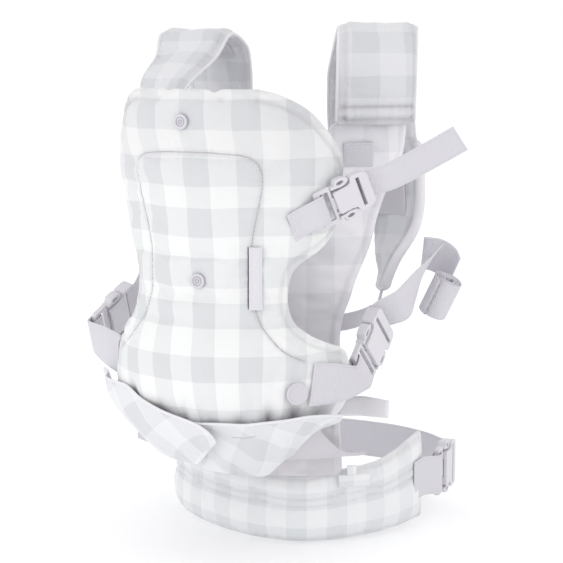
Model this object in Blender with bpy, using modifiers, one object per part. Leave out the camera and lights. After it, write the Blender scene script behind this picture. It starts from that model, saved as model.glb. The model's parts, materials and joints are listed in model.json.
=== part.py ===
"""Soft baby carrier: a waist belt, a panel against the wearer, a front panel with a fold-down head support,
two padded shoulder straps, and webbing with side-release buckles.

Units are metres and +Z is up. The wearer stands inside the belt's loop, whose centre at the belt's lower
edge is the origin. The baby sits on the -Y side, between the inner panel and the front panel.
Angles are measured from -Y towards +X, so the carrier's left side in front view has negative angles.
"""

import math

import bmesh
import bpy
import numpy as np
from mathutils import Matrix, Vector

GAP = 0.0004
UP = Vector((0, 0, 1))

# Waist belt: (angle, radius of its middle) and (angle, height of its top edge).
# Its lower edge droops in front.
BELT_THICKNESS = 0.014
BELT_START = -154
BELT_END = 84
BELT_RADIUS = ((-154, 0.127), (38, 0.127), (60, 0.1255), (75, 0.122), (84, 0.120))
BELT_TOP = ((-154, 0.066), (-30, 0.066), (0, 0.060), (20, 0.056), (38, 0.0625), (53, 0.067), (63, 0.074),
            (76, 0.082), (84, 0.085))
BELT_DROOP = 0.0065

# Front panel: (height, outer radius) and (height, half-angle of its edge), about an upright axis
PANEL_AXIS = Vector((0, -0.149, 0))
PANEL_THICKNESS = 0.008
PANEL_RADIUS = ((0.118, 0.093), (0.125, 0.102), (0.14, 0.110), (0.16, 0.1145), (0.18, 0.1135), (0.20, 0.109),
                (0.22, 0.102), (0.245, 0.0985), (0.27, 0.0985), (0.30, 0.101), (0.33, 0.105), (0.35, 0.108),
                (0.38, 0.109), (0.4165, 0.108))
PANEL_EDGE = ((0.118, 70), (0.128, 78), (0.145, 82), (0.165, 83), (0.182, 82), (0.190, 78), (0.196, 69),
              (0.2045, 59), (0.217, 51.5), (0.233, 49.4), (0.2456, 49.9), (0.2586, 52.4), (0.2674, 58.5),
              (0.2756, 69.3), (0.283, 76), (0.2925, 81), (0.306, 82.9), (0.330, 83), (0.349, 82.4),
              (0.360, 79.2), (0.3705, 74.5), (0.3815, 68.5), (0.398, 58.2), (0.408, 48), (0.413, 41),
              (0.4165, 33))
FOLD_HEIGHT = 0.3208
FOLD_RISE = 0.0295
HEAD_HINGE = Vector((0, -0.262, FOLD_HEIGHT))
LEFT_FLAP_HINGE = Vector((-0.147, -0.150, 0.144))
RIGHT_FLAP_HINGE = Vector((0.1135, -0.188, 0.130))

# Inner panel, shaped round the wearer: (height, half-angle of its edge)
INNER_RADIUS = 0.130
INNER_THICKNESS = 0.007
INNER_EDGE = ((0.0715, 37), (0.12, 36), (0.185, 36), (0.207, 37.5), (0.221, 39.9), (0.238, 42.3),
              (0.253, 45.2), (0.271, 48.6), (0.298, 52), (0.325, 57), (0.36, 65), (0.385, 66))
INNER_TOP = 0.385
INNER_SCOOP = 0.050

# Webbing and straps
WEBBING = 0.0016
NARROW = 0.025
WIDE = 0.038
PAD_THICKNESS = 0.012
FLAP_THICKNESS = 0.0024
FLAP_BOW = 0.009

# Each buckle: webbing width, middle of the male bar, direction of the pull, and outward normal
BUCKLES = {
    "upper_right": (NARROW, (0.0969, -0.2013, 0.3118), (0.605, 0.683, 0.408), (0.77, -0.63, -0.07)),
    "upper_left": (NARROW, (-0.1115, -0.1530, 0.3400), (-0.14, 0.78, 0.60), (-0.98, -0.16, 0.0)),
    "lower_right": (WIDE, (0.1110, -0.1405, 0.1625), (0.08, 0.67, 0.74), (0.96, -0.09, -0.06)),
    "lower_left": (WIDE, (-0.1660, -0.1320, 0.1770), (0.20, 0.84, 0.48), (-0.960, 0.10, 0.225)),
    "waist": (WIDE, (0.1290, 0.0120, 0.0380), (-0.12, 0.99, 0.0), (0.99, 0.12, 0.0)),
}
BUCKLE_LENGTH = {NARROW: 0.052, WIDE: 0.058}
BUCKLE_THICKNESS = {NARROW: 0.010, WIDE: 0.012}
RAIL = 0.004
MOUTH_INSET = 0.0062

FABRIC = ("gingham_fabric", (0.86, 0.88, 0.89), 0.85)
LINING = ("lining_fabric", (0.78, 0.76, 0.79), 0.90)
STRAP = ("webbing", (0.72, 0.70, 0.74), 0.75)
PLASTIC = ("buckle_plastic", (0.76, 0.74, 0.78), 0.45)
SNAP = ("snap_plastic", (0.84, 0.85, 0.86), 0.35)
LABEL = ("label_fabric", (0.70, 0.69, 0.73), 0.80)


def start_scene():
    """Removes what the scene holds, and returns the collections of the parts and of the helper shapes."""
    for obj in list(bpy.data.objects):
        bpy.data.objects.remove(obj)
    made = []
    for name in ("baby_carrier", "helper_shapes"):
        group = bpy.data.collections.new(name)
        bpy.context.scene.collection.children.link(group)
        made.append(group)
    made[1].hide_render = True
    return made


def material(look):
    """The Principled material of a (name, colour, roughness) triple."""
    name, colour, roughness = look
    found = bpy.data.materials.get(name)
    if found is None:
        found = bpy.data.materials.new(name)
        found.use_nodes = True
        shader = found.node_tree.nodes["Principled BSDF"]
        shader.inputs["Base Color"].default_value = (*colour, 1)
        shader.inputs["Roughness"].default_value = roughness
        shader.inputs["Metallic"].default_value = 0
        found.diffuse_color = (*colour, 1)
    return found


def add(name, mesh, look, matrix=None):
    """Links a mesh to the carrier as the named part."""
    obj = bpy.data.objects.new(name, mesh)
    if not mesh.materials:
        mesh.materials.append(material(look))
    if matrix is not None:
        obj.matrix_world = matrix
    PARTS.objects.link(obj)
    return obj


def smooth(table, at):
    """Value of a smooth curve without overshoot through the table's (position, value) pairs."""
    knots, values = (np.array(column, float) for column in zip(*table))
    step = np.diff(knots)
    slope = np.diff(values) / step
    ends = [slope[0], slope[-1]]
    inner = [0.0 if a * b <= 0 else 2 * a * b / (a + b) for a, b in zip(slope, slope[1:])]
    tangent = [ends[0], *inner, ends[1]]
    i = int(np.clip(np.searchsorted(knots, at) - 1, 0, len(step) - 1))
    t = float(np.clip((at - knots[i]) / step[i], 0, 1))
    start = (1 + 2 * t) * (1 - t) ** 2 * values[i] + t * (1 - t) ** 2 * step[i] * tangent[i]
    finish = t * t * (3 - 2 * t) * values[i + 1] + t * t * (t - 1) * step[i] * tangent[i + 1]
    return start + finish


def ease(low, high, at):
    """0 below low, 1 above high, and a smooth step between them."""
    t = min(max((at - low) / (high - low), 0), 1)
    return t * t * (3 - 2 * t)


def sheet(name, columns, rows, place, thickness, look, offset=0.0, pivot=Vector()):
    """A closed sheet of fabric: a grid laid out by place(across, along), both 0 to 1, and thickened.

    Its origin is the pivot.
    """
    mesh = bpy.data.meshes.new(name)
    grid = bmesh.new()
    bmesh.ops.create_grid(grid, x_segments=columns, y_segments=rows, size=0.5)
    for vertex in grid.verts:
        vertex.co = place(vertex.co.x + 0.5, vertex.co.y + 0.5) - pivot
    grid.to_mesh(mesh)
    grid.free()
    mesh.shade_smooth()
    obj = add(name, mesh, look, Matrix.Translation(pivot))
    shell = obj.modifiers.new("thickness", "SOLIDIFY")
    shell.thickness = thickness
    shell.offset = offset
    shell.use_even_offset = True
    return obj


def around(axis, angle, radius, height):
    """The point at that angle, radius and height round an upright axis."""
    turn = math.radians(angle)
    return Vector((axis.x + radius * math.sin(turn), axis.y - radius * math.cos(turn), height))


def on_panel(angle, height, lift=0.0):
    """A point on the front panel's outer face, or lifted off it."""
    return around(PANEL_AXIS, angle, smooth(PANEL_RADIUS, height) + lift, height)


class Path:
    """A smooth line through stations of (centre, width direction, width, bow).

    Its position runs from 0 to 1 by distance, or by station, which keeps short turns sharp.
    """

    def __init__(self, stations, by_station=False):
        centres = [Vector(s[0]) for s in stations]
        steps = [1 if by_station else (b - a).length for a, b in zip(centres, centres[1:])]
        total = sum(steps)
        self.at = [sum(steps[:i]) / total for i in range(len(stations))]
        self.rows = [(*s[0], *Vector(s[1]).normalized(), s[2], s[3] if len(s) > 3 else 0.0) for s in stations]

    def value(self, along, column):
        return smooth([(t, row[column]) for t, row in zip(self.at, self.rows)], along)

    def centre(self, along):
        return Vector([self.value(along, i) for i in range(3)])

    def __call__(self, across, along):
        side = Vector([self.value(along, i) for i in range(3, 6)]).normalized()
        ahead = self.centre(min(along + 0.01, 1)) - self.centre(max(along - 0.01, 0))
        normal = ahead.cross(side).normalized()
        width, bow = self.value(along, 6), self.value(along, 7)
        offset = across - 0.5
        return self.centre(along) + side * (width * offset) + normal * (bow * (1 - 4 * offset * offset))


def strap(name, stations, rows, look, thickness=WEBBING, columns=1):
    """A strap or length of webbing through its stations."""
    return sheet(name, columns, rows, Path(stations), thickness, look)


def webbing_loop(name, stations):
    """Webbing with two rows of faces from each station to the next."""
    return sheet(name, 1, 2 * (len(stations) - 1), Path(stations, by_station=True), WEBBING, STRAP)


def fold_line(angle):
    """Height of the head support's fold: level in the middle, and rising over the side straps."""
    return FOLD_HEIGHT + FOLD_RISE * ease(36, 66, abs(angle))


def body_panel():
    """The front panel below the fold, with its wide hips, its arm openings and its side wings."""
    heights = [z for z, _ in PANEL_EDGE if z < 0.31] + [FOLD_HEIGHT]
    rows = len(heights) - 1

    def place(across, along):
        side = 2 * across - 1
        height = heights[round(along * rows)]
        if height < FOLD_HEIGHT:
            return on_panel(side * smooth(PANEL_EDGE, height), height)
        angle = side * smooth(PANEL_EDGE, fold_line(90))
        return on_panel(angle, fold_line(angle))

    return sheet("body_panel", 20, rows, place, PANEL_THICKNESS, FABRIC, -1)


def head_panel():
    """The head support above the fold, with its rounded top corners."""
    heights = [FOLD_HEIGHT + 0.001, 0.3345] + [z for z, _ in PANEL_EDGE if z > 0.34]
    rows = len(heights) - 1

    def place(across, along):
        side = 2 * across - 1
        base = heights[round(along * rows)]
        share = 1 - ease(FOLD_HEIGHT, 0.372, base)
        angle = side * smooth(PANEL_EDGE, base + FOLD_RISE * share)
        return on_panel(angle, base + (fold_line(angle) - FOLD_HEIGHT) * share)

    return sheet("head_panel", 20, rows, place, PANEL_THICKNESS, FABRIC, -1, HEAD_HINGE)


def inner_panel():
    """The panel against the wearer's chest, scooped at its top between the strap roots."""
    lower = [z for z, _ in INNER_EDGE if z < 0.26]
    upper_rows = 6
    rows = len(lower) - 1 + upper_rows

    def place(across, along):
        side = 2 * across - 1
        row = round(along * rows)
        height = lower[min(row, len(lower) - 1)]
        rise = max(row - len(lower) + 1, 0) / upper_rows
        edge = height + (INNER_TOP - height) * rise
        angle = side * smooth(INNER_EDGE, edge)
        scoop = INNER_SCOOP * (1 - ease(14, 36, abs(angle))) * rise
        return around(Vector(), angle, INNER_RADIUS, edge - scoop)

    return sheet("inner_panel", 14, rows, place, INNER_THICKNESS, LINING)


def seat_base():
    """The seat under the baby, from inside the front panel's lower edge in to the belt."""
    rim_radius, rim_height, rim_angle = 0.080, 0.124, 74
    root_radius, root_height, root_angle = 0.1385, 0.0785, 46

    def place(across, along):
        side = 2 * across - 1
        rim = around(PANEL_AXIS, side * rim_angle, rim_radius, rim_height)
        root = around(Vector(), side * root_angle, root_radius, root_height)
        sag = 0.012 * math.sin(math.pi * along)
        return root.lerp(rim, along) - UP * sag

    return sheet("seat_base", 12, 6, place, 0.005, LINING)


def belt_place(angle, share, lift=0.0):
    """A point of the belt's middle surface, or lifted off it, at that share of the belt's height."""
    low = -BELT_DROOP * (1 - ease(0, 60, abs(angle - 18)))
    height = low + (smooth(BELT_TOP, angle) - low) * share
    return around(Vector(), angle, smooth(BELT_RADIUS, angle) + lift, height)


def belt_pad():
    """The padded belt, open behind the wearer's right side, with a raised corner at its buckle end."""

    def place(across, along):
        return belt_place(BELT_START + (BELT_END - BELT_START) * across, along)

    return sheet("belt_pad", 38, 3, place, BELT_THICKNESS, FABRIC)


def buckle_frame(name):
    """The matrix of a buckle: X along the pull, Y across the webbing, Z outward, origin at the male bar."""
    _, origin, along, outward = BUCKLES[name]
    x = Vector(along).normalized()
    z = (Vector(outward) - x * x.dot(Vector(outward))).normalized()
    frame = Matrix((x, z.cross(x), z)).transposed().to_4x4()
    frame.translation = Vector(origin)
    return frame


def outline_mesh(name, loops, thickness):
    """A flat plate with that outline and those holes, centred on its mid-plane."""
    curve = bpy.data.curves.new(name, "CURVE")
    curve.dimensions = "2D"
    curve.fill_mode = "BOTH"
    curve.extrude = thickness / 2
    for loop in loops:
        spline = curve.splines.new("POLY")
        spline.points.add(len(loop) - 1)
        spline.use_cyclic_u = True
        for point, (x, y) in zip(spline.points, loop):
            point.co = (x, y, 0, 1)
    holder = bpy.data.objects.new(name, curve)
    HELPERS.objects.link(holder)
    bpy.context.view_layer.update()
    mesh = bpy.data.meshes.new_from_object(holder.evaluated_get(bpy.context.evaluated_depsgraph_get()))
    bpy.data.objects.remove(holder)
    body = bmesh.new()
    body.from_mesh(mesh)
    bmesh.ops.remove_doubles(body, verts=body.verts, dist=0.00005)
    bmesh.ops.recalc_face_normals(body, faces=body.faces)
    body.to_mesh(mesh)
    body.free()
    mesh.name = name
    return mesh


def cut(mesh, boxes):
    """The mesh with boxes cut away, each as (low corner, high corner)."""
    obj = bpy.data.objects.new(mesh.name, mesh)
    HELPERS.objects.link(obj)
    cutters = []
    for low, high in boxes:
        block = bpy.data.meshes.new("cutter")
        body = bmesh.new()
        size = Vector(high) - Vector(low)
        shift = Matrix.Translation((Vector(low) + Vector(high)) / 2) @ Matrix.Diagonal((*size, 1))
        bmesh.ops.create_cube(body, size=1, matrix=shift)
        body.to_mesh(block)
        body.free()
        cutter = bpy.data.objects.new("cutter", block)
        HELPERS.objects.link(cutter)
        cutters.append(cutter)
        boolean = obj.modifiers.new("cut", "BOOLEAN")
        boolean.operation = "DIFFERENCE"
        boolean.object = cutter
    bpy.context.view_layer.update()
    made = bpy.data.meshes.new_from_object(obj.evaluated_get(bpy.context.evaluated_depsgraph_get()))
    made.name = mesh.name
    for helper in (obj, *cutters):
        bpy.data.objects.remove(helper)
    return made


def rectangle(x0, x1, half):
    return [(x0, -half), (x1, -half), (x1, half), (x0, half)]


def oval(x, y, rx, ry, points):
    turns = [2 * math.pi * i / points for i in range(points)]
    return [(x + rx * math.cos(t), y + ry * math.sin(t)) for t in turns]


def buckle_meshes(webbing):
    """The meshes of a side-release buckle for that webbing: male frame, female body and the two prongs."""
    length, thick = BUCKLE_LENGTH[webbing], BUCKLE_THICKNESS[webbing]
    half = webbing / 2 + RAIL
    slot_half = webbing / 2 + 0.0005
    mouth_half = half - MOUTH_INSET
    beam, mouth, shoulder = 0.30 * length, 0.32 * length, 0.68 * length
    tongue_half = 0.22 * webbing
    tongue_tip = 0.60 * length
    chamfer = 0.0015

    frame = [(0, chamfer - half), (chamfer, -half), (beam, -half), (beam, -tongue_half),
             (tongue_tip, -tongue_half * 0.8), (tongue_tip, tongue_half * 0.8), (beam, tongue_half),
             (beam, half), (chamfer, half), (0, half - chamfer)]
    slot = rectangle(0.10 * length, 0.25 * length, slot_half)
    male = outline_mesh(f"male_{webbing}", [frame, slot], 0.4 * thick)

    right = [(mouth, mouth_half - chamfer), (mouth + chamfer, mouth_half),
             (shoulder - 0.004, mouth_half), (shoulder - 0.001, mouth_half + 0.0012),
             (shoulder, mouth_half + 0.004), (shoulder + 0.0005, half - 0.001), (shoulder + 0.002, half),
             (length - 0.005, half - 0.0005), (length - 0.0015, half - 0.002), (length, half - 0.004)]
    body = right + [(x, -y) for x, y in reversed(right)]
    slot = rectangle(0.77 * length, 0.84 * length, slot_half)
    plate = outline_mesh(f"female_{webbing}", [body, slot], thick)
    pocket = ((mouth - 0.01, -tongue_half - 0.0006, -0.2 * thick - 0.0005),
              (0.63 * length, tongue_half + 0.0006, 0.2 * thick + 0.0005))
    groove = ((0.74 * length, -slot_half, -thick), (length + 0.01, slot_half, -0.12 * thick))
    female = cut(plate, [pocket, groove])

    root, inside = beam + GAP, mouth_half + 0.0012
    knob_x, knob_y = 0.50 * length, half - 0.0010
    arm = [(root, inside + 0.0012), (knob_x - 0.004, inside + 0.0006)]
    knob = [(knob_x + 0.16 * length * math.cos(t), knob_y + (knob_y - inside) * math.sin(t))
            for t in np.radians(range(-120, 150, 30))]
    back = [(root + 0.004, half - 0.0016), (root, half - 0.0012)]
    eyelet = oval(knob_x, knob_y, 0.075 * length, 0.0016, 8)
    prong = outline_mesh(f"prong_{webbing}", [arm + knob + back, eyelet], 0.72 * thick)
    return male, female, prong


def buckle(name, meshes):
    """A buckle's four pieces. Each prong's origin is on its bending axis, and the female's on its slide."""
    webbing = BUCKLES[name][0]
    frame = buckle_frame(name)
    male, female, prong = meshes[webbing]
    add(f"{name}_buckle_male", male, PLASTIC, frame)
    add(f"{name}_buckle_female", female, PLASTIC, frame)
    pivot = prong_pivot(webbing)
    for letter, side in (("a", 1), ("b", -1)):
        mesh = prong.copy()
        mesh.transform(Matrix.Translation(-pivot))
        if side < 0:
            mesh.transform(Matrix.Diagonal((1, -1, 1, 1)))
            mesh.flip_normals()
        place = frame @ Matrix.Translation((pivot.x, side * pivot.y, 0))
        add(f"{name}_buckle_prong_{letter}", mesh, PLASTIC, place)


def prong_pivot(webbing):
    return Vector((0.30 * BUCKLE_LENGTH[webbing] + GAP, webbing / 2 + RAIL - 0.0030, 0))


def looped(name, lead, width):
    """Stations that follow lead, pass over a buckle's male bar and turn back through its slot."""
    frame = buckle_frame(name)
    webbing = BUCKLES[name][0]
    bar = 0.10 * BUCKLE_LENGTH[webbing]
    lift = 0.2 * BUCKLE_THICKNESS[webbing] + WEBBING / 2 + 0.0010
    side = frame.to_3x3() @ Vector((0, 1, 0))
    half_turn = [(-0.004, 1.0), (0.8 * bar, 1.0), (bar + 0.0012, 0.85), (bar + 0.0022, 0.35)]
    turn = half_turn + [(x, -z) for x, z in reversed(half_turn)]
    return lead + [(frame @ Vector((x, 0, z * lift)), side, width) for x, z in turn]


def from_ladder(name, stations, width):
    """Stations that leave a female buckle's ladder under its last bar, then follow the given ones."""
    frame = buckle_frame(name)
    webbing = BUCKLES[name][0]
    length, depth = BUCKLE_LENGTH[webbing], -0.3 * BUCKLE_THICKNESS[webbing]
    side = frame.to_3x3() @ Vector((0, 1, 0))
    inside = [(frame @ Vector((x * length, 0, depth)), side, width) for x in (0.79, 0.9, 1.03)]
    return inside + stations


def disc(name, matrix, radius, height, look, profile):
    """A round fastener turned from (share of radius, share of height) points, its back at the origin."""
    mesh = bpy.data.meshes.new(name)
    turned = bmesh.new()
    points = [turned.verts.new((radius * r, 0, height * h)) for r, h in profile]
    for a, b in zip(points, points[1:]):
        turned.edges.new((a, b))
    bmesh.ops.spin(turned, geom=turned.verts[:] + turned.edges[:], axis=UP, cent=(0, 0, 0),
                   angle=2 * math.pi, steps=20)
    bmesh.ops.remove_doubles(turned, verts=turned.verts, dist=0.00005)
    bmesh.ops.recalc_face_normals(turned, faces=turned.faces)
    turned.to_mesh(mesh)
    turned.free()
    mesh.shade_smooth()
    mesh.set_sharp_from_angle(angle=math.radians(40))
    return add(name, mesh, look, matrix)


def facing(point, outward):
    """A matrix at the point, with +Z outward."""
    matrix = Vector(outward).to_track_quat("Z", "Y").to_matrix().to_4x4()
    matrix.translation = point
    return matrix


def fasteners():
    """Two snaps near the centre line, and the round button on the right hip."""
    snap = ((0, 0), (1, 0), (1, 0.45), (0.88, 0.8), (0.62, 0.8), (0.52, 0.5), (0.34, 0.5), (0.26, 1), (0, 1))
    button = ((0, 0), (0.86, 0), (1, 0.3), (1, 0.7), (0.93, 1), (0.80, 1), (0.76, 0.85), (0, 0.85))
    for name, angle, height in (("head_snap", -2.8, 0.389), ("body_snap", 2.5, 0.2525)):
        outward = around(Vector(), angle, 1, 0)
        disc(name, facing(on_panel(angle, height, GAP), outward), 0.0065, 0.0022, SNAP, snap)
    place = facing(on_panel(49, 0.157, 0.0012), around(Vector(), 49, 1, 0))
    disc("seat_button", place, 0.010, 0.003, SNAP, button)


def flap(name, top, low, hinge):
    """A fabric flap between its top and lower edges, bowed outwards."""
    top_edge, low_edge = (Path([(point, UP, 1) for point in edge]) for edge in (top, low))

    def place(across, along):
        point = low_edge.centre(across).lerp(top_edge.centre(across), along)
        outward = (point - PANEL_AXIS) * Vector((1, 1, 0))
        bow = FLAP_BOW * math.sin(math.pi * along) * math.sin(math.pi * across) ** 2
        return point + outward.normalized() * bow

    return sheet(name, 16, 4, place, FLAP_THICKNESS, FABRIC, 0.0, hinge)


def seat_flaps():
    """Two fabric flaps that hang round the seat from the hips. The left one lies over the right one."""
    flap("seat_flap_left",
         ((-0.148, -0.150, 0.1476), (-0.1352, -0.165, 0.1483), (-0.110, -0.210, 0.152),
          (-0.0721, -0.2436, 0.1554), (-0.0457, -0.2567, 0.1458), (-0.0155, -0.265, 0.1377),
          (0.0147, -0.2651, 0.1292), (0.0239, -0.2625, 0.1216), (0.0272, -0.2597, 0.1144)),
         ((-0.146, -0.150, 0.140), (-0.1166, -0.175, 0.1300), (-0.0960, -0.186, 0.1125),
          (-0.0790, -0.195, 0.0985), (-0.0668, -0.200, 0.0905), (-0.0486, -0.205, 0.0837),
          (-0.0347, -0.210, 0.083), (-0.0101, -0.225, 0.0852), (0.0063, -0.240, 0.0974)),
         LEFT_FLAP_HINGE)
    flap("seat_flap_right",
         ((0.1150, -0.1875, 0.1330), (0.0957, -0.218, 0.1362), (0.0808, -0.2308, 0.1341),
          (0.065, -0.2414, 0.1326), (0.0486, -0.251, 0.1313), (0.0307, -0.2577, 0.1318),
          (0.0109, -0.2600, 0.1307), (-0.004, -0.2577, 0.130), (-0.016, -0.2550, 0.129)),
         ((0.1120, -0.1880, 0.1275), (0.0947, -0.192, 0.1201), (0.0772, -0.185, 0.1071),
          (0.0629, -0.175, 0.0926), (0.0464, -0.170, 0.0800), (0.0326, -0.178, 0.0680),
          (0.0152, -0.190, 0.0695), (0.0090, -0.210, 0.0760), (-0.006, -0.212, 0.0775)),
         RIGHT_FLAP_HINGE)


def shoulder_pads():
    """The padded straps, from the inner panel's corners over the shoulders and down behind."""
    right = [((0.1020, -0.0860, 0.3865), (0.636, 0.772, 0), 0.080, -0.006),
             ((0.1030, -0.0850, 0.440), (0.636, 0.772, 0), 0.080, -0.002),
             ((0.1005, -0.0780, 0.4620), (0.636, 0.772, 0), 0.080),
             ((0.0950, -0.0640, 0.4680), (0.64, 0.77, 0), 0.080),
             ((0.0840, -0.0480, 0.4500), (0.66, 0.75, 0), 0.080),
             ((0.0740, -0.0330, 0.420), (0.74, 0.67, 0), 0.080),
             ((0.0720, -0.0200, 0.370), (0.93, 0.36, 0), 0.080),
             ((0.0850, -0.0120, 0.330), (0.95, -0.30, 0), 0.078),
             ((0.0955, -0.0200, 0.285), (0.86, -0.51, 0), 0.064),
             ((0.0930, -0.0330, 0.250), (0.60, -0.79, 0.08), 0.056),
             ((0.0920, -0.0420, 0.222), (0.42, -0.90, 0.15), 0.044)]
    left = [((-0.1020, -0.0860, 0.3865), (0.636, -0.772, 0), 0.080, -0.006),
            ((-0.1080, -0.1020, 0.408), (0.85, -0.52, 0), 0.080),
            ((-0.1040, -0.0660, 0.4380), (0.95, -0.30, 0), 0.080),
            ((-0.1130, -0.0200, 0.4620), (0.995, -0.10, 0), 0.080),
            ((-0.1090, 0.0080, 0.4450), (0.99, -0.12, 0), 0.080),
            ((-0.1050, 0.0120, 0.407), (0.97, -0.23, 0), 0.080),
            ((-0.1050, 0.0000, 0.370), (1.0, -0.02, 0), 0.080),
            ((-0.1100, -0.0150, 0.320), (0.88, 0.47, 0), 0.080),
            ((-0.1130, -0.0300, 0.270), (0.80, 0.60, 0), 0.074),
            ((-0.1050, -0.0500, 0.228), (0.70, 0.71, 0), 0.052)]
    strap("shoulder_pad_right", right, 26, FABRIC, PAD_THICKNESS, 4)
    strap("shoulder_pad_left", left, 26, FABRIC, PAD_THICKNESS, 4)


def panel_tabs():
    """The webbing sewn on the front panel and the belt, each looped round its buckle's male bar."""
    slant = (-0.19, -0.34, 0.91)
    lead = [(on_panel(49.5, 0.2980, 0.0016), slant, NARROW), (on_panel(55, 0.3040, 0.0040), slant, NARROW)]
    webbing_loop("upper_tab_right", looped("upper_right", lead, NARROW))
    lead = [(on_panel(-64, 0.3160, 0.0018), (0, 0.2, -1), NARROW),
            (on_panel(-74, 0.3220, 0.0040), (0, 0.4, -0.9), NARROW)]
    webbing_loop("upper_tab_left", looped("upper_left", lead, NARROW))
    lead = [(on_panel(56, 0.1635, 0.0020), (0.10, 0.10, 0.98), WIDE),
            (on_panel(68, 0.162, 0.0020), (0.08, -0.20, 0.97), WIDE),
            (on_panel(78, 0.161, 0.0024), (0.04, -0.50, 0.86), WIDE)]
    webbing_loop("lower_tab_right", looped("lower_right", lead, WIDE))
    lead = [(on_panel(-70, 0.162, 0.0020), (0, 0, -1), WIDE),
            (on_panel(-80, 0.1655, 0.0060), (-0.05, 0.05, -1), WIDE),
            ((-0.1400, -0.1570, 0.1700), (-0.10, 0.15, -0.98), WIDE)]
    webbing_loop("lower_tab_left", looped("lower_left", lead, WIDE))
    lead = [(belt_place(angle, 0.5, 0.0084), UP, WIDE) for angle in (66, 74, 81)]
    webbing_loop("belt_tab", looped("waist", lead, WIDE))


def pull_webbing():
    """The webbing on the female halves: free ends above, the wide pulls below, and the belt's back strap."""
    end = [((0.1440, -0.1500, 0.3410), (-0.25, -0.36, 0.90), NARROW),
           ((0.1680, -0.1220, 0.3570), (-0.36, -0.36, 0.86), NARROW),
           ((0.1883, -0.1000, 0.3715), (-0.46, -0.30, 0.83), NARROW)]
    strap("upper_webbing_right", from_ladder("upper_right", end, NARROW), 10, STRAP)
    end = [((-0.1205, -0.1065, 0.3752), (0, 0.6, -0.8), NARROW)]
    strap("upper_webbing_left", from_ladder("upper_left", end, NARROW), 4, STRAP)
    end = [((0.1300, -0.0850, 0.2180), (-0.03, -0.62, 0.78), WIDE),
           ((0.1360, -0.0700, 0.2335), (0.225, -0.60, 0.766), WIDE),
           ((0.1410, -0.0550, 0.2490), (0.50, -0.606, 0.61), WIDE),
           ((0.1460, -0.0420, 0.2640), (0.60, -0.70, 0.38), WIDE)]
    strap("lower_webbing_right", from_ladder("lower_right", end, WIDE), 12, STRAP)
    end = [((-0.1520, -0.0520, 0.2280), (-0.10, 0.52, -0.80), WIDE),
           ((-0.1370, -0.0200, 0.2480), (0.10, 0.52, -0.85), WIDE)]
    strap("lower_webbing_left", from_ladder("lower_left", end, WIDE), 10, STRAP)
    back = [(around(Vector(), angle, radius, 0.036), UP, WIDE)
            for angle, radius in ((132, 0.1365), (145, 0.134), (165, 0.131), (185, 0.1315), (200, 0.1345),
                                  (212, 0.1362), (222, 0.1362), (232, 0.1362))]
    strap("belt_webbing", from_ladder("waist", back, WIDE), 26, STRAP)


def free_ends():
    """Webbing past the buckles: the rolled ends, the strap anchors, and the belt's tail."""
    tail = [((0.1240, -0.0200, 0.2575), (-0.25, 0.45, -0.86), WIDE),
            ((0.1350, -0.0120, 0.2550), (-0.36, 0.36, -0.86), WIDE),
            ((0.1470, -0.0100, 0.2470), (-0.42, 0.28, -0.86), WIDE),
            ((0.1520, -0.0125, 0.2370), (-0.45, 0.15, -0.88), WIDE)]
    strap("lower_tail_right", tail, 8, STRAP)
    rolled = ((0, 0), (0.94, 0), (1, 0.03), (1, 0.97), (0.94, 1), (0, 1))
    place = facing((0.1370, -0.0262, 0.2020), (0.462, -0.094, 0.878))
    disc("lower_roll_right", place, 0.0145, WIDE, STRAP, rolled)
    place = facing((-0.1060, 0.0000, 0.1950), (-0.2, 0, 0.98))
    disc("lower_roll_left", place, 0.0145, WIDE, STRAP, rolled)
    anchors = {
        "right": [((0.0920, -0.0421, 0.2215), (0.42, -0.90, 0.15), 0.016),
                  ((0.0910, -0.0500, 0.2110), (0.5, -0.7, 0.5), 0.016),
                  ((0.0865, -0.0720, 0.2020), (0.1, -0.1, 1), 0.016),
                  ((0.0775, -0.0945, 0.1995), (0, 0, 1), 0.016),
                  ((0.0690, -0.1028, 0.1990), (0, 0, 1), 0.016)],
        "left": [((-0.0965, -0.0417, 0.2275), (0.70, 0.71, 0), 0.016),
                 ((-0.0935, -0.0520, 0.2140), (0.5, 0.7, -0.5), 0.016),
                 ((-0.0875, -0.0730, 0.2035), (0.1, 0.1, -1), 0.016),
                 ((-0.0775, -0.0945, 0.1995), (0, 0, -1), 0.016),
                 ((-0.0690, -0.1028, 0.1990), (0, 0, -1), 0.016)]}
    for word, stations in anchors.items():
        strap(f"strap_anchor_{word}", stations, 10, STRAP)
    tail = [((-0.1360, -0.0300, 0.052), (0.1, -0.1, 1), 0.030),
            ((-0.1560, -0.0320, 0.060), (0.1, -0.1, 1), 0.030),
            ((-0.1800, -0.0300, 0.066), (0.1, -0.1, 1), 0.030)]
    strap("belt_tail", tail, 4, STRAP)
    hem = [((0.0880, -0.1360, 0.128), (0, 0.1, 1), 0.016),
           ((0.1100, -0.1300, 0.130), (0, 0.1, 1), 0.018),
           ((0.1360, -0.1340, 0.130), (0, 0.1, 1), 0.016)]
    strap("seat_tab_right", hem, 4, FABRIC, 0.004)


def patches():
    """The square webbing patches on the inner panel and the side label on the front panel."""
    for name, side in (("strap_patch_right", 1), ("strap_patch_left", -1)):

        def place(across, along, side=side):
            angle = side * (42.5 + 12 * (across - 0.5))
            return around(Vector(), angle, INNER_RADIUS + 0.0048, 0.343 + 0.022 * along)

        sheet(name, 2, 1, place, 0.0016, STRAP)

    def on_side(across, along):
        return on_panel(28.6 + 6.6 * across, 0.2285 + 0.054 * along, 0.0011)

    sheet("side_label", 2, 5, on_side, 0.0010, LABEL)


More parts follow.
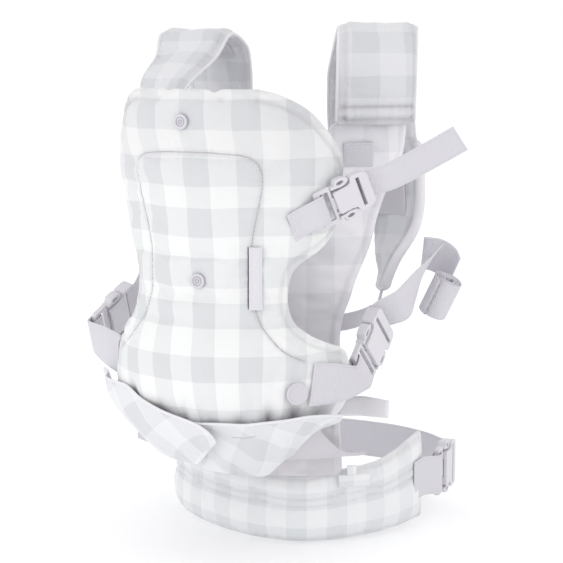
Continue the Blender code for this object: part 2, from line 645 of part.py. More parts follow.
PARTS, HELPERS = start_scene()
body_panel()
head_panel()
inner_panel()
seat_base()
belt_pad()
shoulder_pads()
seat_flaps()
panel_tabs()
pull_webbing()
free_ends()
patches()
fasteners()
MESHES = {webbing: buckle_meshes(webbing) for webbing in (NARROW, WIDE)}
for buckle_name in BUCKLES:
    buckle(buckle_name, MESHES)
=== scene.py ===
"""Looks of the soft baby carrier: quilted gingham panels and straps, webbing, buckles, snaps and stitching.

Units are metres. Angles are measured from -Y towards +X, as in the CAD part. Each soft CAD node is replaced
by a fine closed cloth, laid out on the same surface, whose attributes cloth_u and cloth_v hold the place on
the flat fabric in metres.
"""

import json
import math

import bmesh
import bpy
import numpy as np
from mathutils import Matrix, Vector, kdtree, noise
from mathutils.bvhtree import BVHTree

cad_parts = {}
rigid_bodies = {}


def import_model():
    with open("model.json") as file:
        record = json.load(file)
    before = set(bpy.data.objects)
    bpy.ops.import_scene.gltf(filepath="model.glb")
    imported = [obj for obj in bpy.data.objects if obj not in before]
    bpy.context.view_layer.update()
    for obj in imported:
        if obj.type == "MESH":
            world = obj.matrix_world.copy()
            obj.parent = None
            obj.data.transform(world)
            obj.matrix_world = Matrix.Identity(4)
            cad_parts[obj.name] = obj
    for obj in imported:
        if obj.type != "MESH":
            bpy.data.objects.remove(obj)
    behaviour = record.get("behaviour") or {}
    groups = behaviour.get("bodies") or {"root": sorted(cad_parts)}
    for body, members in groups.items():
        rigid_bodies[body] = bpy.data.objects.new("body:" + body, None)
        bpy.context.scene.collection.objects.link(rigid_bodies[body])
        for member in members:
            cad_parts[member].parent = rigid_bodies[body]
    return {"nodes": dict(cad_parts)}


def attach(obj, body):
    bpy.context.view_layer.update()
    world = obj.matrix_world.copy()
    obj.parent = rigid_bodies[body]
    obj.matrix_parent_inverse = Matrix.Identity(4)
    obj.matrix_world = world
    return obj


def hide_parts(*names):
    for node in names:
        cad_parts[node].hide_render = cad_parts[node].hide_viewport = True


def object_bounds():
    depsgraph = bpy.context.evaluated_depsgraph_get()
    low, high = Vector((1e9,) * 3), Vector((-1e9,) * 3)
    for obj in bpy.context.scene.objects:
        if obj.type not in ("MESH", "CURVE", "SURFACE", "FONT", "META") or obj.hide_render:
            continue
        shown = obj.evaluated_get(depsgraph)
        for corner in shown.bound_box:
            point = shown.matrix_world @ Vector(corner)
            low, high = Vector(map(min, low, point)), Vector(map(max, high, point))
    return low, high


CELL = 0.0042
CHECK = 0.0254
PANEL_AXIS = (0.0, -0.149)
PANEL_RADIUS = ((0.118, 0.093), (0.125, 0.102), (0.14, 0.110), (0.16, 0.1145), (0.18, 0.1135), (0.20, 0.109),
                (0.22, 0.102), (0.245, 0.0985), (0.27, 0.0985), (0.30, 0.101), (0.33, 0.105), (0.35, 0.108),
                (0.38, 0.109), (0.4165, 0.108))
PANEL_EDGE = ((0.118, 70), (0.128, 78), (0.145, 82), (0.165, 83), (0.182, 82), (0.190, 78), (0.196, 69),
              (0.2045, 59), (0.217, 51.5), (0.233, 49.4), (0.2456, 49.9), (0.2586, 52.4), (0.2674, 58.5),
              (0.2756, 69.3), (0.283, 76), (0.2925, 81), (0.306, 82.9), (0.330, 83), (0.349, 82.4),
              (0.360, 79.2), (0.3705, 74.5), (0.3815, 68.5), (0.398, 58.2), (0.408, 48), (0.413, 41),
              (0.4165, 33))
# Height on the front panel against checks of fabric from the top row down
PANEL_ROWS = ((0.118, 13.2), (0.145, 12), (0.168, 11), (0.1885, 10), (0.211, 9), (0.233, 8), (0.247, 7),
              (0.2735, 6), (0.292, 5), (0.317, 4), (0.335, 3), (0.358, 2), (0.382, 1), (0.4075, 0),
              (0.4165, -0.4))
# Height against the angle of the middle grey column, and against the angle from one grey column to the next
PANEL_COLUMN = ((0.118, 10), (0.162, 9.2), (0.1794, 8.5), (0.1997, 8.0), (0.222, 6.9), (0.237, 5.9),
                (0.27, 5.0), (0.319, 5.2), (0.336, 5.0), (0.353, 4.3), (0.366, 3.7), (0.391, 2.0), (0.4165, 1.8))
PANEL_PITCH = ((0.118, 19), (0.162, 19.6), (0.18, 20.6), (0.20, 21.3), (0.222, 22.8), (0.237, 24.2), (0.27, 25),
               (0.336, 24.4), (0.366, 24.7), (0.4165, 25.3))
INSET_SEAM = ((53.6, 0.1837), (46, 0.1895), (39.9, 0.200), (33.5, 0.217), (30.2, 0.2377), (29.4, 0.2804),
              (33.2, 0.315), (34.9, 0.3323), (34.6, 0.3470), (32.0, 0.3560), (26.0, 0.3612), (12, 0.3632))
BELT_RADIUS = ((-154, 0.127), (38, 0.127), (60, 0.1255), (75, 0.122), (84, 0.120))
BELT_TOP = ((-154, 0.066), (-30, 0.066), (0, 0.060), (20, 0.056), (38, 0.0625), (53, 0.067), (63, 0.074),
            (76, 0.082), (84, 0.085))
INNER_EDGE = ((0.0715, 37), (0.12, 36), (0.185, 36), (0.207, 37.5), (0.221, 39.9), (0.238, 42.3),
              (0.253, 45.2), (0.271, 48.6), (0.298, 52), (0.325, 57), (0.36, 65), (0.385, 66))
# Pleats along the panel's gathered lower edge: angle, width, and the height where each runs out
HOLLOWS = ((-17, 6, 0.156), (-32, 2.6, 0.166), (-4, 2.4, 0.148), (11, 2.4, 0.147), (24, 2.4, 0.147),
           (37.5, 2.8, 0.157), (50.5, 3.6, 0.159), (64, 5.5, 0.153))
SNAPS = {"head_snap": (-2.8, 0.389), "body_snap": (2.5, 0.2525)}
SEAT_BUTTON = (49, 0.157)
# The head support's fold: a plane that rises over the side straps
FOLD_POINT = (0, -0.2500, 0.3208)
FOLD_NORMAL = (0, -0.438, 0.899)

STRAP_RIGHT = (((0.1020, -0.0860, 0.3805), (0.636, 0.772, 0), 0.080, -0.006),
               ((0.1030, -0.0850, 0.440), (0.636, 0.772, 0), 0.080, -0.002),
               ((0.1005, -0.0780, 0.4620), (0.636, 0.772, 0), 0.080),
               ((0.0950, -0.0640, 0.4680), (0.64, 0.77, 0), 0.080),
               ((0.0840, -0.0480, 0.4500), (0.66, 0.75, 0), 0.080),
               ((0.0740, -0.0330, 0.420), (0.74, 0.67, 0), 0.080),
               ((0.0720, -0.0200, 0.370), (0.93, 0.36, 0), 0.080),
               ((0.0850, -0.0120, 0.330), (0.95, -0.30, 0), 0.078),
               ((0.0955, -0.0200, 0.285), (0.86, -0.51, 0), 0.064),
               ((0.0930, -0.0330, 0.250), (0.60, -0.79, 0.08), 0.056),
               ((0.0920, -0.0420, 0.222), (0.42, -0.90, 0.15), 0.044))
STRAP_LEFT = (((-0.1020, -0.0860, 0.3805), (0.636, -0.772, 0), 0.080, -0.006),
              ((-0.1080, -0.1020, 0.408), (0.85, -0.52, 0), 0.080),
              ((-0.1040, -0.0660, 0.4380), (0.95, -0.30, 0), 0.080),
              ((-0.1130, -0.0200, 0.4620), (0.995, -0.10, 0), 0.080),
              ((-0.1090, 0.0080, 0.4450), (0.99, -0.12, 0), 0.080),
              ((-0.1050, 0.0120, 0.407), (0.97, -0.23, 0), 0.080),
              ((-0.1050, 0.0000, 0.370), (1.0, -0.02, 0), 0.080),
              ((-0.1100, -0.0150, 0.320), (0.88, 0.47, 0), 0.080),
              ((-0.1130, -0.0300, 0.270), (0.80, 0.60, 0), 0.074),
              ((-0.1050, -0.0500, 0.228), (0.70, 0.71, 0), 0.052))
FLAPS = {
    "left": (((-0.148, -0.150, 0.1476), (-0.1352, -0.165, 0.1483), (-0.110, -0.210, 0.152),
              (-0.0721, -0.2436, 0.1554), (-0.0457, -0.2567, 0.1458), (-0.0155, -0.265, 0.1377),
              (0.0147, -0.2651, 0.1292), (0.0239, -0.2625, 0.1216), (0.0272, -0.2597, 0.1144)),
             ((-0.146, -0.150, 0.140), (-0.1166, -0.175, 0.1300), (-0.0960, -0.186, 0.1125),
              (-0.0790, -0.195, 0.0985), (-0.0668, -0.200, 0.0905), (-0.0486, -0.205, 0.0837),
              (-0.0347, -0.210, 0.083), (-0.0101, -0.225, 0.0852), (0.0063, -0.240, 0.0974))),
    "right": (((0.1150, -0.1875, 0.1330), (0.0957, -0.218, 0.1362), (0.0808, -0.2308, 0.1341),
               (0.065, -0.2414, 0.1326), (0.0486, -0.251, 0.1313), (0.0307, -0.2577, 0.1318),
               (0.0109, -0.2600, 0.1307), (-0.004, -0.2577, 0.130), (-0.016, -0.2550, 0.129)),
              ((0.1120, -0.1880, 0.1275), (0.0947, -0.192, 0.1201), (0.0772, -0.185, 0.1071),
               (0.0629, -0.175, 0.0926), (0.0464, -0.170, 0.0800), (0.0326, -0.178, 0.0680),
               (0.0152, -0.190, 0.0695), (0.0090, -0.210, 0.0760), (-0.006, -0.212, 0.0775))),
}
NARROW = 0.025
WIDE = 0.038
BUCKLES = {
    "upper_right": (NARROW, (0.0969, -0.2013, 0.3118), (0.605, 0.683, 0.408), (0.77, -0.63, -0.07)),
    "upper_left": (NARROW, (-0.1115, -0.1530, 0.3400), (-0.14, 0.78, 0.60), (-0.98, -0.16, 0.0)),
    "lower_right": (WIDE, (0.1110, -0.1405, 0.1625), (0.08, 0.67, 0.74), (0.96, -0.09, -0.06)),
    "lower_left": (WIDE, (-0.1660, -0.1320, 0.1770), (0.20, 0.84, 0.48), (-0.960, 0.10, 0.225)),
    "waist": (WIDE, (0.1290, 0.0120, 0.0380), (-0.12, 0.99, 0.0), (0.99, 0.12, 0.0)),
}
BUCKLE_LENGTH = {NARROW: 0.052, WIDE: 0.058}
BUCKLE_THICKNESS = {NARROW: 0.010, WIDE: 0.012}
WEBBING = 0.0016
STITCH_PITCH = 0.0034
STITCH_LENGTH = 0.0024
STITCH_RADIUS = 0.00034
# The quilt's middle, measured from the panel's outer face
QUILT_MIDDLE = -0.003
CLOTH_FRAMES = 20
HELD_RIM = 0.0015


# ---- curves and grids ------------------------------------------------------------------------------------

def curve(table, at):
    """Values of a smooth curve without overshoot through the table's (position, value) pairs."""
    knots, values = (np.array(column, float) for column in zip(*table))
    at = np.clip(np.asarray(at, float), knots[0], knots[-1])
    step = np.diff(knots)
    slope = np.diff(values) / step
    product = slope[:-1] * slope[1:]
    total = np.where(product > 0, slope[:-1] + slope[1:], 1)
    inner = np.where(product > 0, 2 * product / total, 0)
    tangent = np.concatenate([slope[:1], inner, slope[-1:]])
    i = np.clip(np.searchsorted(knots, at) - 1, 0, len(step) - 1)
    t = (at - knots[i]) / step[i]
    rise = (1 + 2 * t) * (1 - t) ** 2 * values[i] + t * (1 - t) ** 2 * step[i] * tangent[i]
    return rise + t * t * (3 - 2 * t) * values[i + 1] + t * t * (t - 1) * step[i] * tangent[i + 1]


def ease(low, high, at):
    """0 below low, 1 above high, and a smooth step between them."""
    t = np.clip((np.asarray(at, float) - low) / (high - low), 0, 1)
    return t * t * (3 - 2 * t)


def unit(vectors):
    return vectors / np.maximum(np.linalg.norm(vectors, axis=-1, keepdims=True), 1e-12)


def around(axis, angle, radius, height):
    """Points at those angles, radii and heights round an upright axis."""
    turn = np.radians(angle)
    x = axis[0] + radius * np.sin(turn)
    y = axis[1] - radius * np.cos(turn)
    return np.stack(np.broadcast_arrays(x, y, np.asarray(height, float)), -1)


def on_panel(angle, height, lift=0.0):
    """Points of the front panel's outer face, or lifted off it."""
    return around(PANEL_AXIS, angle, curve(PANEL_RADIUS, height) + lift, height)


def spread(length, cell, rim):
    """Shares of a length: cells of about one size, with finer ones close to both ends."""
    ends = np.array([0, 0.14, 0.5, 1.0]) * rim
    count = max(int(round((length - 2 * rim) / cell)), 1)
    middle = np.linspace(rim, length - rim, count + 1)[1:-1]
    return np.concatenate([ends, middle, length - ends[::-1]]) / length


def path_grid(stations, across, along, by_station=False):
    """Grid of points of a strap through stations of (centre, width direction, width, bow)."""
    centres = np.array([s[0] for s in stations], float)
    steps = np.linalg.norm(np.diff(centres, axis=0), axis=1)
    if by_station:
        steps = np.ones(len(steps))
    at = np.concatenate([[0], np.cumsum(steps)]) / steps.sum()
    sides = unit(np.array([s[1] for s in stations], float))
    widths = [s[2] for s in stations]
    bows = [s[3] if len(s) > 3 else 0.0 for s in stations]

    def value(column, t):
        return curve(list(zip(at, column)), t)

    centre = np.stack([value(centres[:, i], along) for i in range(3)], -1)
    side = unit(np.stack([value(sides[:, i], along) for i in range(3)], -1))
    later = np.stack([value(centres[:, i], np.minimum(along + 0.01, 1)) for i in range(3)], -1)
    sooner = np.stack([value(centres[:, i], np.maximum(along - 0.01, 0)) for i in range(3)], -1)
    normal = unit(np.cross(later - sooner, side))
    offset = (across - 0.5)[None, :, None]
    width = value(widths, along)[:, None, None]
    bow = value(bows, along)[:, None, None]
    return centre[:, None] + side[:, None] * width * offset + normal[:, None] * bow * (1 - 4 * offset ** 2)


def lengths(points):
    """Distance run along a line of points."""
    return np.concatenate([[0], np.cumsum(np.linalg.norm(np.diff(points, axis=0), axis=1))])


def dense(points, step=0.001):
    """The line resampled to even steps."""
    points = np.asarray(points, float)
    run = lengths(points)
    at = np.linspace(0, run[-1], max(int(run[-1] / step), 2) + 1)
    return np.stack([np.interp(at, run, points[:, i]) for i in range(points.shape[1])], -1)


def rounded(points, times=3):
    """The line with its corners cut, time after time, so that it runs smoothly."""
    points = np.asarray(points, float)
    for _ in range(times):
        near = points[:-1] * 0.75 + points[1:] * 0.25
        far = points[:-1] * 0.25 + points[1:] * 0.75
        between = np.stack([near, far], 1).reshape(-1, points.shape[1])
        points = np.concatenate([points[:1], between, points[-1:]])
    return points


# ---- meshes ----------------------------------------------------------------------------------------------

def link(name, mesh, look=None):
    obj = bpy.data.objects.new(name, mesh)
    bpy.context.scene.collection.objects.link(obj)
    if look is not None:
        mesh.materials.append(look)
    return obj


def set_attribute(mesh, name, values):
    layer = mesh.attributes.get(name) or mesh.attributes.new(name, "FLOAT", "POINT")
    layer.data.foreach_set("value", np.asarray(values, np.float32).ravel())


def get_attribute(mesh, name):
    values = np.zeros(len(mesh.vertices), np.float32)
    mesh.attributes[name].data.foreach_get("value", values)
    return values


def points_of(mesh):
    points = np.zeros(len(mesh.vertices) * 3, np.float32)
    mesh.vertices.foreach_get("co", points)
    return points.reshape(-1, 3).astype(float)


def normals_of(mesh):
    normals = np.zeros(len(mesh.vertices) * 3, np.float32)
    mesh.vertices.foreach_get("normal", normals)
    return normals.reshape(-1, 3).astype(float)


def move_points(mesh, points):
    mesh.vertices.foreach_set("co", points.astype(np.float32).ravel())
    mesh.update()


def pad(name, grid, u, v, front, back, rim, look):
    """A closed piece of fabric over a grid of middle points: two faces that meet in a rounded rim.

    front and back are how far the faces stand off the middle, and rim is the rounding's width.
    """
    rows, columns = grid.shape[:2]
    edge = np.concatenate([grid[0], grid[-1], grid[:, 0], grid[:, -1]])
    flat = grid.reshape(-1, 3)
    gap = np.min([np.linalg.norm(flat - point, axis=1) for point in edge], axis=0).reshape(rows, columns)
    swell = np.sqrt(np.clip(1 - (1 - np.minimum(gap / rim, 1)) ** 2, 0, 1))[..., None]
    normal = unit(np.cross(np.gradient(grid, axis=1), np.gradient(grid, axis=0)))
    inside = np.zeros((rows, columns), bool)
    inside[1:-1, 1:-1] = True
    top = (grid + normal * swell * front).reshape(-1, 3)
    low = (grid - normal * swell * back)[inside]
    index = np.arange(rows * columns).reshape(rows, columns)
    under = index.copy()
    under[inside] = rows * columns + np.arange(inside.sum())
    faces = []
    for table, turned in ((index, False), (under, True)):
        quads = np.stack([table[:-1, :-1], table[:-1, 1:], table[1:, 1:], table[1:, :-1]], -1).reshape(-1, 4)
        faces.append(quads[:, ::-1] if turned else quads)
    mesh = bpy.data.meshes.new(name)
    mesh.from_pydata(np.concatenate([top, low]).tolist(), [], np.concatenate(faces).tolist())
    u, v = (np.broadcast_to(values, (rows, columns)) for values in (u, v))
    set_attribute(mesh, "cloth_u", np.concatenate([u.ravel(), u[inside]]))
    set_attribute(mesh, "cloth_v", np.concatenate([v.ravel(), v[inside]]))
    set_attribute(mesh, "rim", np.concatenate([gap.ravel(), gap[inside]]))
    # The shade attribute carries painted shade; every piece starts with none.
    set_attribute(mesh, "shade", np.zeros(len(mesh.vertices)))
    mesh.shade_smooth()
    return link(name, mesh, look)


def nearest(points, normals, line):
    """Each point's distance to the line, measured along the surface, and how far along the line it is."""
    run = lengths(line)
    tree = kdtree.KDTree(len(line))
    for i, point in enumerate(line):
        tree.insert(point, i)
    tree.balance()
    found = np.array([tree.find(point)[1] for point in points])
    gap = line[found] - points
    gap -= normals * np.sum(gap * normals, axis=1, keepdims=True)
    reach = np.linalg.norm(line[found] - points, axis=1)
    return np.where(reach < 0.03, np.linalg.norm(gap, axis=1), reach), run[found]


def puff(obj, lines, pressure, cap, slack=0.03):
    """Fills the piece by a cloth simulation with pressure, held at its rim and along its sewn lines.

    No point moves further than cap, and the cloth may grow by the share slack.
    """
    mesh = obj.data
    rest = points_of(mesh)
    held = get_attribute(mesh, "rim") < HELD_RIM
    for line in lines:
        held |= nearest(rest, normals_of(mesh), line)[0] < 0.55 * CELL
    group = obj.vertex_groups.new(name="held")
    group.add([int(i) for i in np.flatnonzero(held)], 1.0, "REPLACE")
    cloth = obj.modifiers.new("Cloth", "CLOTH")
    cloth.settings.quality = 5
    cloth.settings.mass = 0.15
    cloth.settings.tension_stiffness = 12
    cloth.settings.compression_stiffness = 12
    cloth.settings.shear_stiffness = 4
    cloth.settings.bending_stiffness = 0.15
    cloth.settings.shrink_min = -slack
    cloth.settings.vertex_group_mass = "held"
    cloth.settings.use_pressure = True
    cloth.settings.uniform_pressure_force = pressure
    cloth.settings.effector_weights.gravity = 0
    cloth.collision_settings.use_collision = False
    for number in range(1, CLOTH_FRAMES + 1):
        bpy.context.scene.frame_set(number)
    evaluated = obj.evaluated_get(bpy.context.evaluated_depsgraph_get())
    moved = points_of(evaluated.data) - rest
    obj.modifiers.remove(cloth)
    obj.vertex_groups.remove(group)
    bpy.context.scene.frame_set(1)
    far = np.linalg.norm(moved, axis=1, keepdims=True)
    moved *= np.minimum(1, cap / np.maximum(far, 1e-9))
    move_points(mesh, rest + np.where(np.isfinite(moved), moved, 0))


def refine(obj):
    """Subdivides the piece once its cloth has settled."""
    modifier = obj.modifiers.new("Subdivision", "SUBSURF")
    modifier.levels = modifier.render_levels = 1
    old = obj.data
    obj.data = bpy.data.meshes.new_from_object(obj.evaluated_get(bpy.context.evaluated_depsgraph_get()))
    obj.data.name = old.name
    obj.modifiers.remove(modifier)
    bpy.data.meshes.remove(old)
    return obj


def ripple(run, seed, pitch=0.009):
    """An uneven wave along a line, between -1 and 1."""
    wave = np.sin(2 * math.pi * run / pitch + 1.7 * np.sin(2 * math.pi * run / 0.047 + seed) + seed)
    return wave * (0.65 + 0.35 * np.sin(2 * math.pi * run / 0.083 + 2.1 * seed))


def sew(obj, line, depth=0.0016, width=0.0022, pucker=0.0004, seed=0.0, reach=0.008, painted_seam_shade=0.22):
    """Presses a sewn line into the piece, with small puckers that run out of it on both sides.

    depth and width shape the groove, reach is how far the puckers run, and the last argument sets how dark the
    painted shade is in the groove and in the pucker troughs.
    """
    mesh = obj.data
    points, normals = points_of(mesh), normals_of(mesh)
    gap, run = nearest(points, normals, line)
    sink = depth * np.exp(-((gap / width) ** 2)) * (1 + 0.25 * ripple(run, seed, 0.0065))
    wave = pucker * ripple(run, seed) * np.exp(-gap / reach) * (1 - np.exp(-((gap / width) ** 2)))
    keep = np.clip(get_attribute(mesh, "rim") / 0.002, 0, 1) * (gap < 0.035)
    move_points(mesh, points + normals * ((wave - sink) * keep)[:, None])
    # Painted shade: the groove and the pucker troughs are darkened in the shade attribute.
    dark = painted_seam_shade * np.exp(-((gap / 0.0024) ** 2)) + 0.35 * painted_seam_shade * np.clip(-wave / max(pucker, 1e-6), 0, 1)
    set_attribute(mesh, "shade", np.clip(get_attribute(mesh, "shade") + dark * keep, 0, 1))


def wrinkle(obj, amount, size, seed):
    """Soft uneven dents over the whole piece."""
    mesh = obj.data
    points, normals = points_of(mesh), normals_of(mesh)
    shift = Vector((seed, 2 * seed, 3 * seed))
    dent = np.array([noise.noise(Vector(point) / size + shift) for point in points])
    keep = np.clip(get_attribute(mesh, "rim") / 0.004, 0, 1)
    move_points(mesh, points + normals * (dent * amount * keep)[:, None])


def tube(name, line, radius, look, sides=8):
    """A round cord along a line, with rounded ends."""
    line = dense(line, 0.0025)
    ahead = unit(np.gradient(line, axis=0))
    mesh = bpy.data.meshes.new(name)
    body = bmesh.new()
    side = unit(np.cross(ahead[0], [0.31, 0.22, 0.93]))
    rings = []
    for i, (point, along) in enumerate(zip(line, ahead)):
        side = unit(side - along * np.dot(side, along))
        other = np.cross(along, side)
        size = radius * (0.6 if i in (0, len(line) - 1) else 1)
        turns = [2 * math.pi * k / sides for k in range(sides)]
        rings.append([body.verts.new(point + size * (math.cos(t) * side + math.sin(t) * other)) for t in turns])
    for a, b in zip(rings, rings[1:]):
        for k in range(sides):
            body.faces.new((a[k], a[(k + 1) % sides], b[(k + 1) % sides], b[k]))
    body.faces.new(rings[0][::-1])
    body.faces.new(rings[-1])
    body.normal_update()
    body.to_mesh(mesh)
    body.free()
    mesh.shade_smooth()
    return link(name, mesh, look)


def stitches(name, obj, line, look):
    """A row of separate stitches laid on the piece's surface along a line."""
    tree = BVHTree.FromObject(obj, bpy.context.evaluated_depsgraph_get())
    line = dense(line, STITCH_PITCH)
    ahead = unit(np.gradient(line, axis=0))
    mesh = bpy.data.meshes.new(name)
    body = bmesh.new()
    scale = Matrix.Diagonal((STITCH_LENGTH / 2, STITCH_RADIUS, STITCH_RADIUS, 1))
    for point, along in zip(line, ahead):
        place, normal, _, _ = tree.find_nearest(Vector(point))
        x = Vector(along) - normal * normal.dot(Vector(along))
        if x.length < 1e-6:
            continue
        x.normalize()
        matrix = Matrix((x, normal.cross(x), normal)).transposed().to_4x4()
        matrix.translation = place + normal * (STITCH_RADIUS * 0.25)
        bmesh.ops.create_icosphere(body, subdivisions=1, radius=1.0, matrix=matrix @ scale)
    body.to_mesh(mesh)
    body.free()
    mesh.shade_smooth()
    return link(name, mesh, look)


def turned(name, matrix, profile, look, steps=48):
    """A round piece turned from (radius, height) points about the matrix's Z axis."""
    mesh = bpy.data.meshes.new(name)
    body = bmesh.new()
    points = [body.verts.new((r, 0, h)) for r, h in profile]
    for a, b in zip(points, points[1:]):
        body.edges.new((a, b))
    bmesh.ops.spin(body, geom=body.verts[:] + body.edges[:], axis=(0, 0, 1), cent=(0, 0, 0),
                   angle=2 * math.pi, steps=steps)
    bmesh.ops.remove_doubles(body, verts=body.verts, dist=0.00003)
    bmesh.ops.recalc_face_normals(body, faces=body.faces)
    body.to_mesh(mesh)
    body.free()
    mesh.transform(matrix)
    mesh.shade_smooth()
    mesh.set_sharp_from_angle(angle=math.radians(50))
    return link(name, mesh, look)


def facing(point, outward):
    matrix = Vector(outward).to_track_quat("Z", "Y").to_matrix().to_4x4()
    matrix.translation = Vector(point)
    return matrix


# ---- materials -------------------------------------------------------------------------------------------

class Nodes:
    """A material's node tree, with short calls for the nodes it needs."""

    def __init__(self, name, roughness, sheen=0.0, specular=0.3):
        self.material = bpy.data.materials.new(name)
        self.material.use_nodes = True
        self.tree = self.material.node_tree
        self.shader = self.tree.nodes["Principled BSDF"]
        self.shader.inputs["Roughness"].default_value = roughness
        self.shader.inputs["Sheen Weight"].default_value = sheen
        self.shader.inputs["Sheen Roughness"].default_value = 0.5
        self.shader.inputs["Specular IOR Level"].default_value = specular

    def feed(self, socket, value):
        if isinstance(value, bpy.types.NodeSocket):
            self.tree.links.new(value, socket)
        else:
            socket.default_value = value

    def math(self, operation, *values, clamp=False):
        node = self.tree.nodes.new("ShaderNodeMath")
        node.operation = operation
        node.use_clamp = clamp
        for socket, value in zip(node.inputs, values):
            self.feed(socket, value)
        return node.outputs[0]

    def attribute(self, name):
        node = self.tree.nodes.new("ShaderNodeAttribute")
        node.attribute_name = name
        return node.outputs["Fac"]

    def place(self):
        return self.tree.nodes.new("ShaderNodeTexCoord").outputs["Object"]

    def noise(self, scale, detail=3.0, where=None):
        node = self.tree.nodes.new("ShaderNodeTexNoise")
        node.inputs["Scale"].default_value = scale
        node.inputs["Detail"].default_value = detail
        self.feed(node.inputs["Vector"], self.place() if where is None else where)
        return node.outputs["Fac"]

    def vector(self, x, y, z=0.0):
        node = self.tree.nodes.new("ShaderNodeCombineXYZ")
        for socket, value in zip(node.inputs, (x, y, z)):
            self.feed(socket, value)
        return node.outputs[0]

    def wave(self, value, period, phase=0.0):
        """0.5 plus half a sine of that period."""
        turn = self.math("MULTIPLY_ADD", value, 2 * math.pi / period, phase)
        return self.math("MULTIPLY_ADD", self.math("SINE", turn), 0.5, 0.5)

    def mix(self, share, a, b):
        node = self.tree.nodes.new("ShaderNodeMix")
        node.data_type = "RGBA"
        self.feed(node.inputs["Factor"], share)
        self.feed(node.inputs["A"], a if isinstance(a, bpy.types.NodeSocket) else (*a, 1))
        self.feed(node.inputs["B"], b if isinstance(b, bpy.types.NodeSocket) else (*b, 1))
        for output in node.outputs:
            if output.type == "RGBA":
                return output

    def bump(self, height, strength, distance, under=None):
        node = self.tree.nodes.new("ShaderNodeBump")
        node.inputs["Strength"].default_value = strength
        node.inputs["Distance"].default_value = distance
        self.feed(node.inputs["Height"], height)
        if under is not None:
            self.feed(node.inputs["Normal"], under)
        return node.outputs[0]

    def done(self, colour, normal, rough=None):
        self.feed(self.shader.inputs["Base Color"], colour)
        self.feed(self.shader.inputs["Normal"], normal)
        if rough is not None:
            self.feed(self.shader.inputs["Roughness"], rough)
        return self.material


def woven(name, white, one, two, size=CHECK, bias=False):
    """Gingham cotton: white, the tone where one set of yarns is grey, and the tone where both are."""
    n = Nodes(name, 0.86, sheen=0.25, specular=0.2)
    u, v = n.attribute("cloth_u"), n.attribute("cloth_v")
    if bias:
        u, v = (n.math("MULTIPLY", n.math(way, u, v), 0.7071) for way in ("ADD", "SUBTRACT"))
    stray = n.math("MULTIPLY_ADD", n.noise(34, 2), 0.0022, -0.0011)
    bars = []
    for value in (u, v):
        turn = n.math("MULTIPLY", n.math("ADD", value, stray), math.pi / size)
        bars.append(n.math("MULTIPLY_ADD", n.math("SINE", turn), 9.0, 0.5, clamp=True))
    grey = n.math("MULTIPLY", n.math("ADD", *bars), 0.5)
    low = n.math("MULTIPLY", grey, 2.0, clamp=True)
    high = n.math("MULTIPLY_ADD", grey, 2.0, -1.0, clamp=True)
    colour = n.mix(high, n.mix(low, white, one), two)
    weave = n.math("MULTIPLY", n.wave(u, 0.0008), n.wave(v, 0.0008, 1.6))
    colour = n.mix(n.math("MULTIPLY", weave, 0.10), colour, tuple(c * 0.80 for c in white))
    cloud = n.math("MULTIPLY_ADD", n.noise(11, 4), 2.4, -0.9, clamp=True)
    colour = n.mix(n.math("MULTIPLY", cloud, 0.16), colour, (0.80, 0.78, 0.82))
    # Painted shade: the shade attribute mixes the cloth towards a dark mauve grey.
    colour = n.mix(n.attribute("shade"), colour, (0.40, 0.37, 0.40))
    slub = n.noise(1.0, 2, n.vector(n.math("MULTIPLY", u, 900), n.math("MULTIPLY", v, 120)))
    creases = n.bump(n.noise(55, 4), 0.22, 0.002)
    threads = n.bump(n.math("ADD", weave, n.math("MULTIPLY", slub, 0.6)), 0.28, 0.0003, creases)
    return n.done(colour, threads)


def ribbed(name, colour, dark, pitch=0.0017):
    """Polyester webbing: slanted ribs across the width, a firm edge on each side."""
    n = Nodes(name, 0.68, sheen=0.15, specular=0.35)
    u, v = n.attribute("cloth_u"), n.attribute("cloth_v")
    slant = n.math("ADD", v, n.math("MULTIPLY", n.math("PINGPONG", u, 0.0032), 0.30))
    ribs = n.wave(slant, pitch)
    yarn = n.wave(u, 0.0011)
    height = n.math("MULTIPLY_ADD", ribs, 0.75, n.math("MULTIPLY", yarn, 0.25))
    # Painted shade: the tone darkens as the ribs' bump height falls, so the valleys between the ribs are shaded in
    # the colour.
    tone = n.mix(n.math("MULTIPLY_ADD", n.math("SUBTRACT", 1.0, height), 0.38, 0.0), colour, dark)
    edge = n.attribute("rim")
    selvedge = n.math("MULTIPLY", n.math("COMPARE", edge, 0.0022, 0.0004), 0.30)
    tone = n.mix(selvedge, tone, dark)
    tone = n.mix(n.math("MULTIPLY_ADD", n.noise(26, 4), 0.7, -0.22, clamp=True), tone,
                 tuple(0.93 * c for c in colour))
    return n.done(tone, n.bump(height, 0.45, 0.0006))


def plain_cloth(name, colour, shade):
    """Plain woven cotton."""
    n = Nodes(name, 0.9, sheen=0.25, specular=0.2)
    weave = n.noise(900, 2)
    tone = n.mix(n.math("MULTIPLY_ADD", n.noise(14, 4), 1.6, -0.5, clamp=True), colour, shade)
    tone = n.mix(n.math("MULTIPLY", weave, 0.15), tone, tuple(0.85 * c for c in colour))
    return n.done(tone, n.bump(weave, 0.25, 0.0004, n.bump(n.noise(70, 4), 0.25, 0.0015)))


def moulded(name, colour, roughness, grain):
    """Moulded plastic with a fine grain, and a little duller in places."""
    n = Nodes(name, roughness, specular=0.45)
    spark = n.noise(1500, 2)
    tone = n.mix(n.math("MULTIPLY_ADD", n.noise(38, 5), 0.9, -0.3, clamp=True), colour,
                 tuple(0.90 * c for c in colour))
    rough = n.math("MULTIPLY_ADD", n.noise(90, 4), 0.18, roughness - 0.09)
    return n.done(tone, n.bump(spark, grain, 0.0002), rough)


def thread(name, colour):
    n = Nodes(name, 0.6, sheen=0.2, specular=0.35)
    twist = n.noise(2200, 1)
    tone = n.mix(n.math("MULTIPLY", twist, 0.3), colour, tuple(0.8 * c for c in colour))
    return n.done(tone, n.bump(twist, 0.3, 0.0002))


# ---- the carrier -----------------------------------------------------------------------------------------

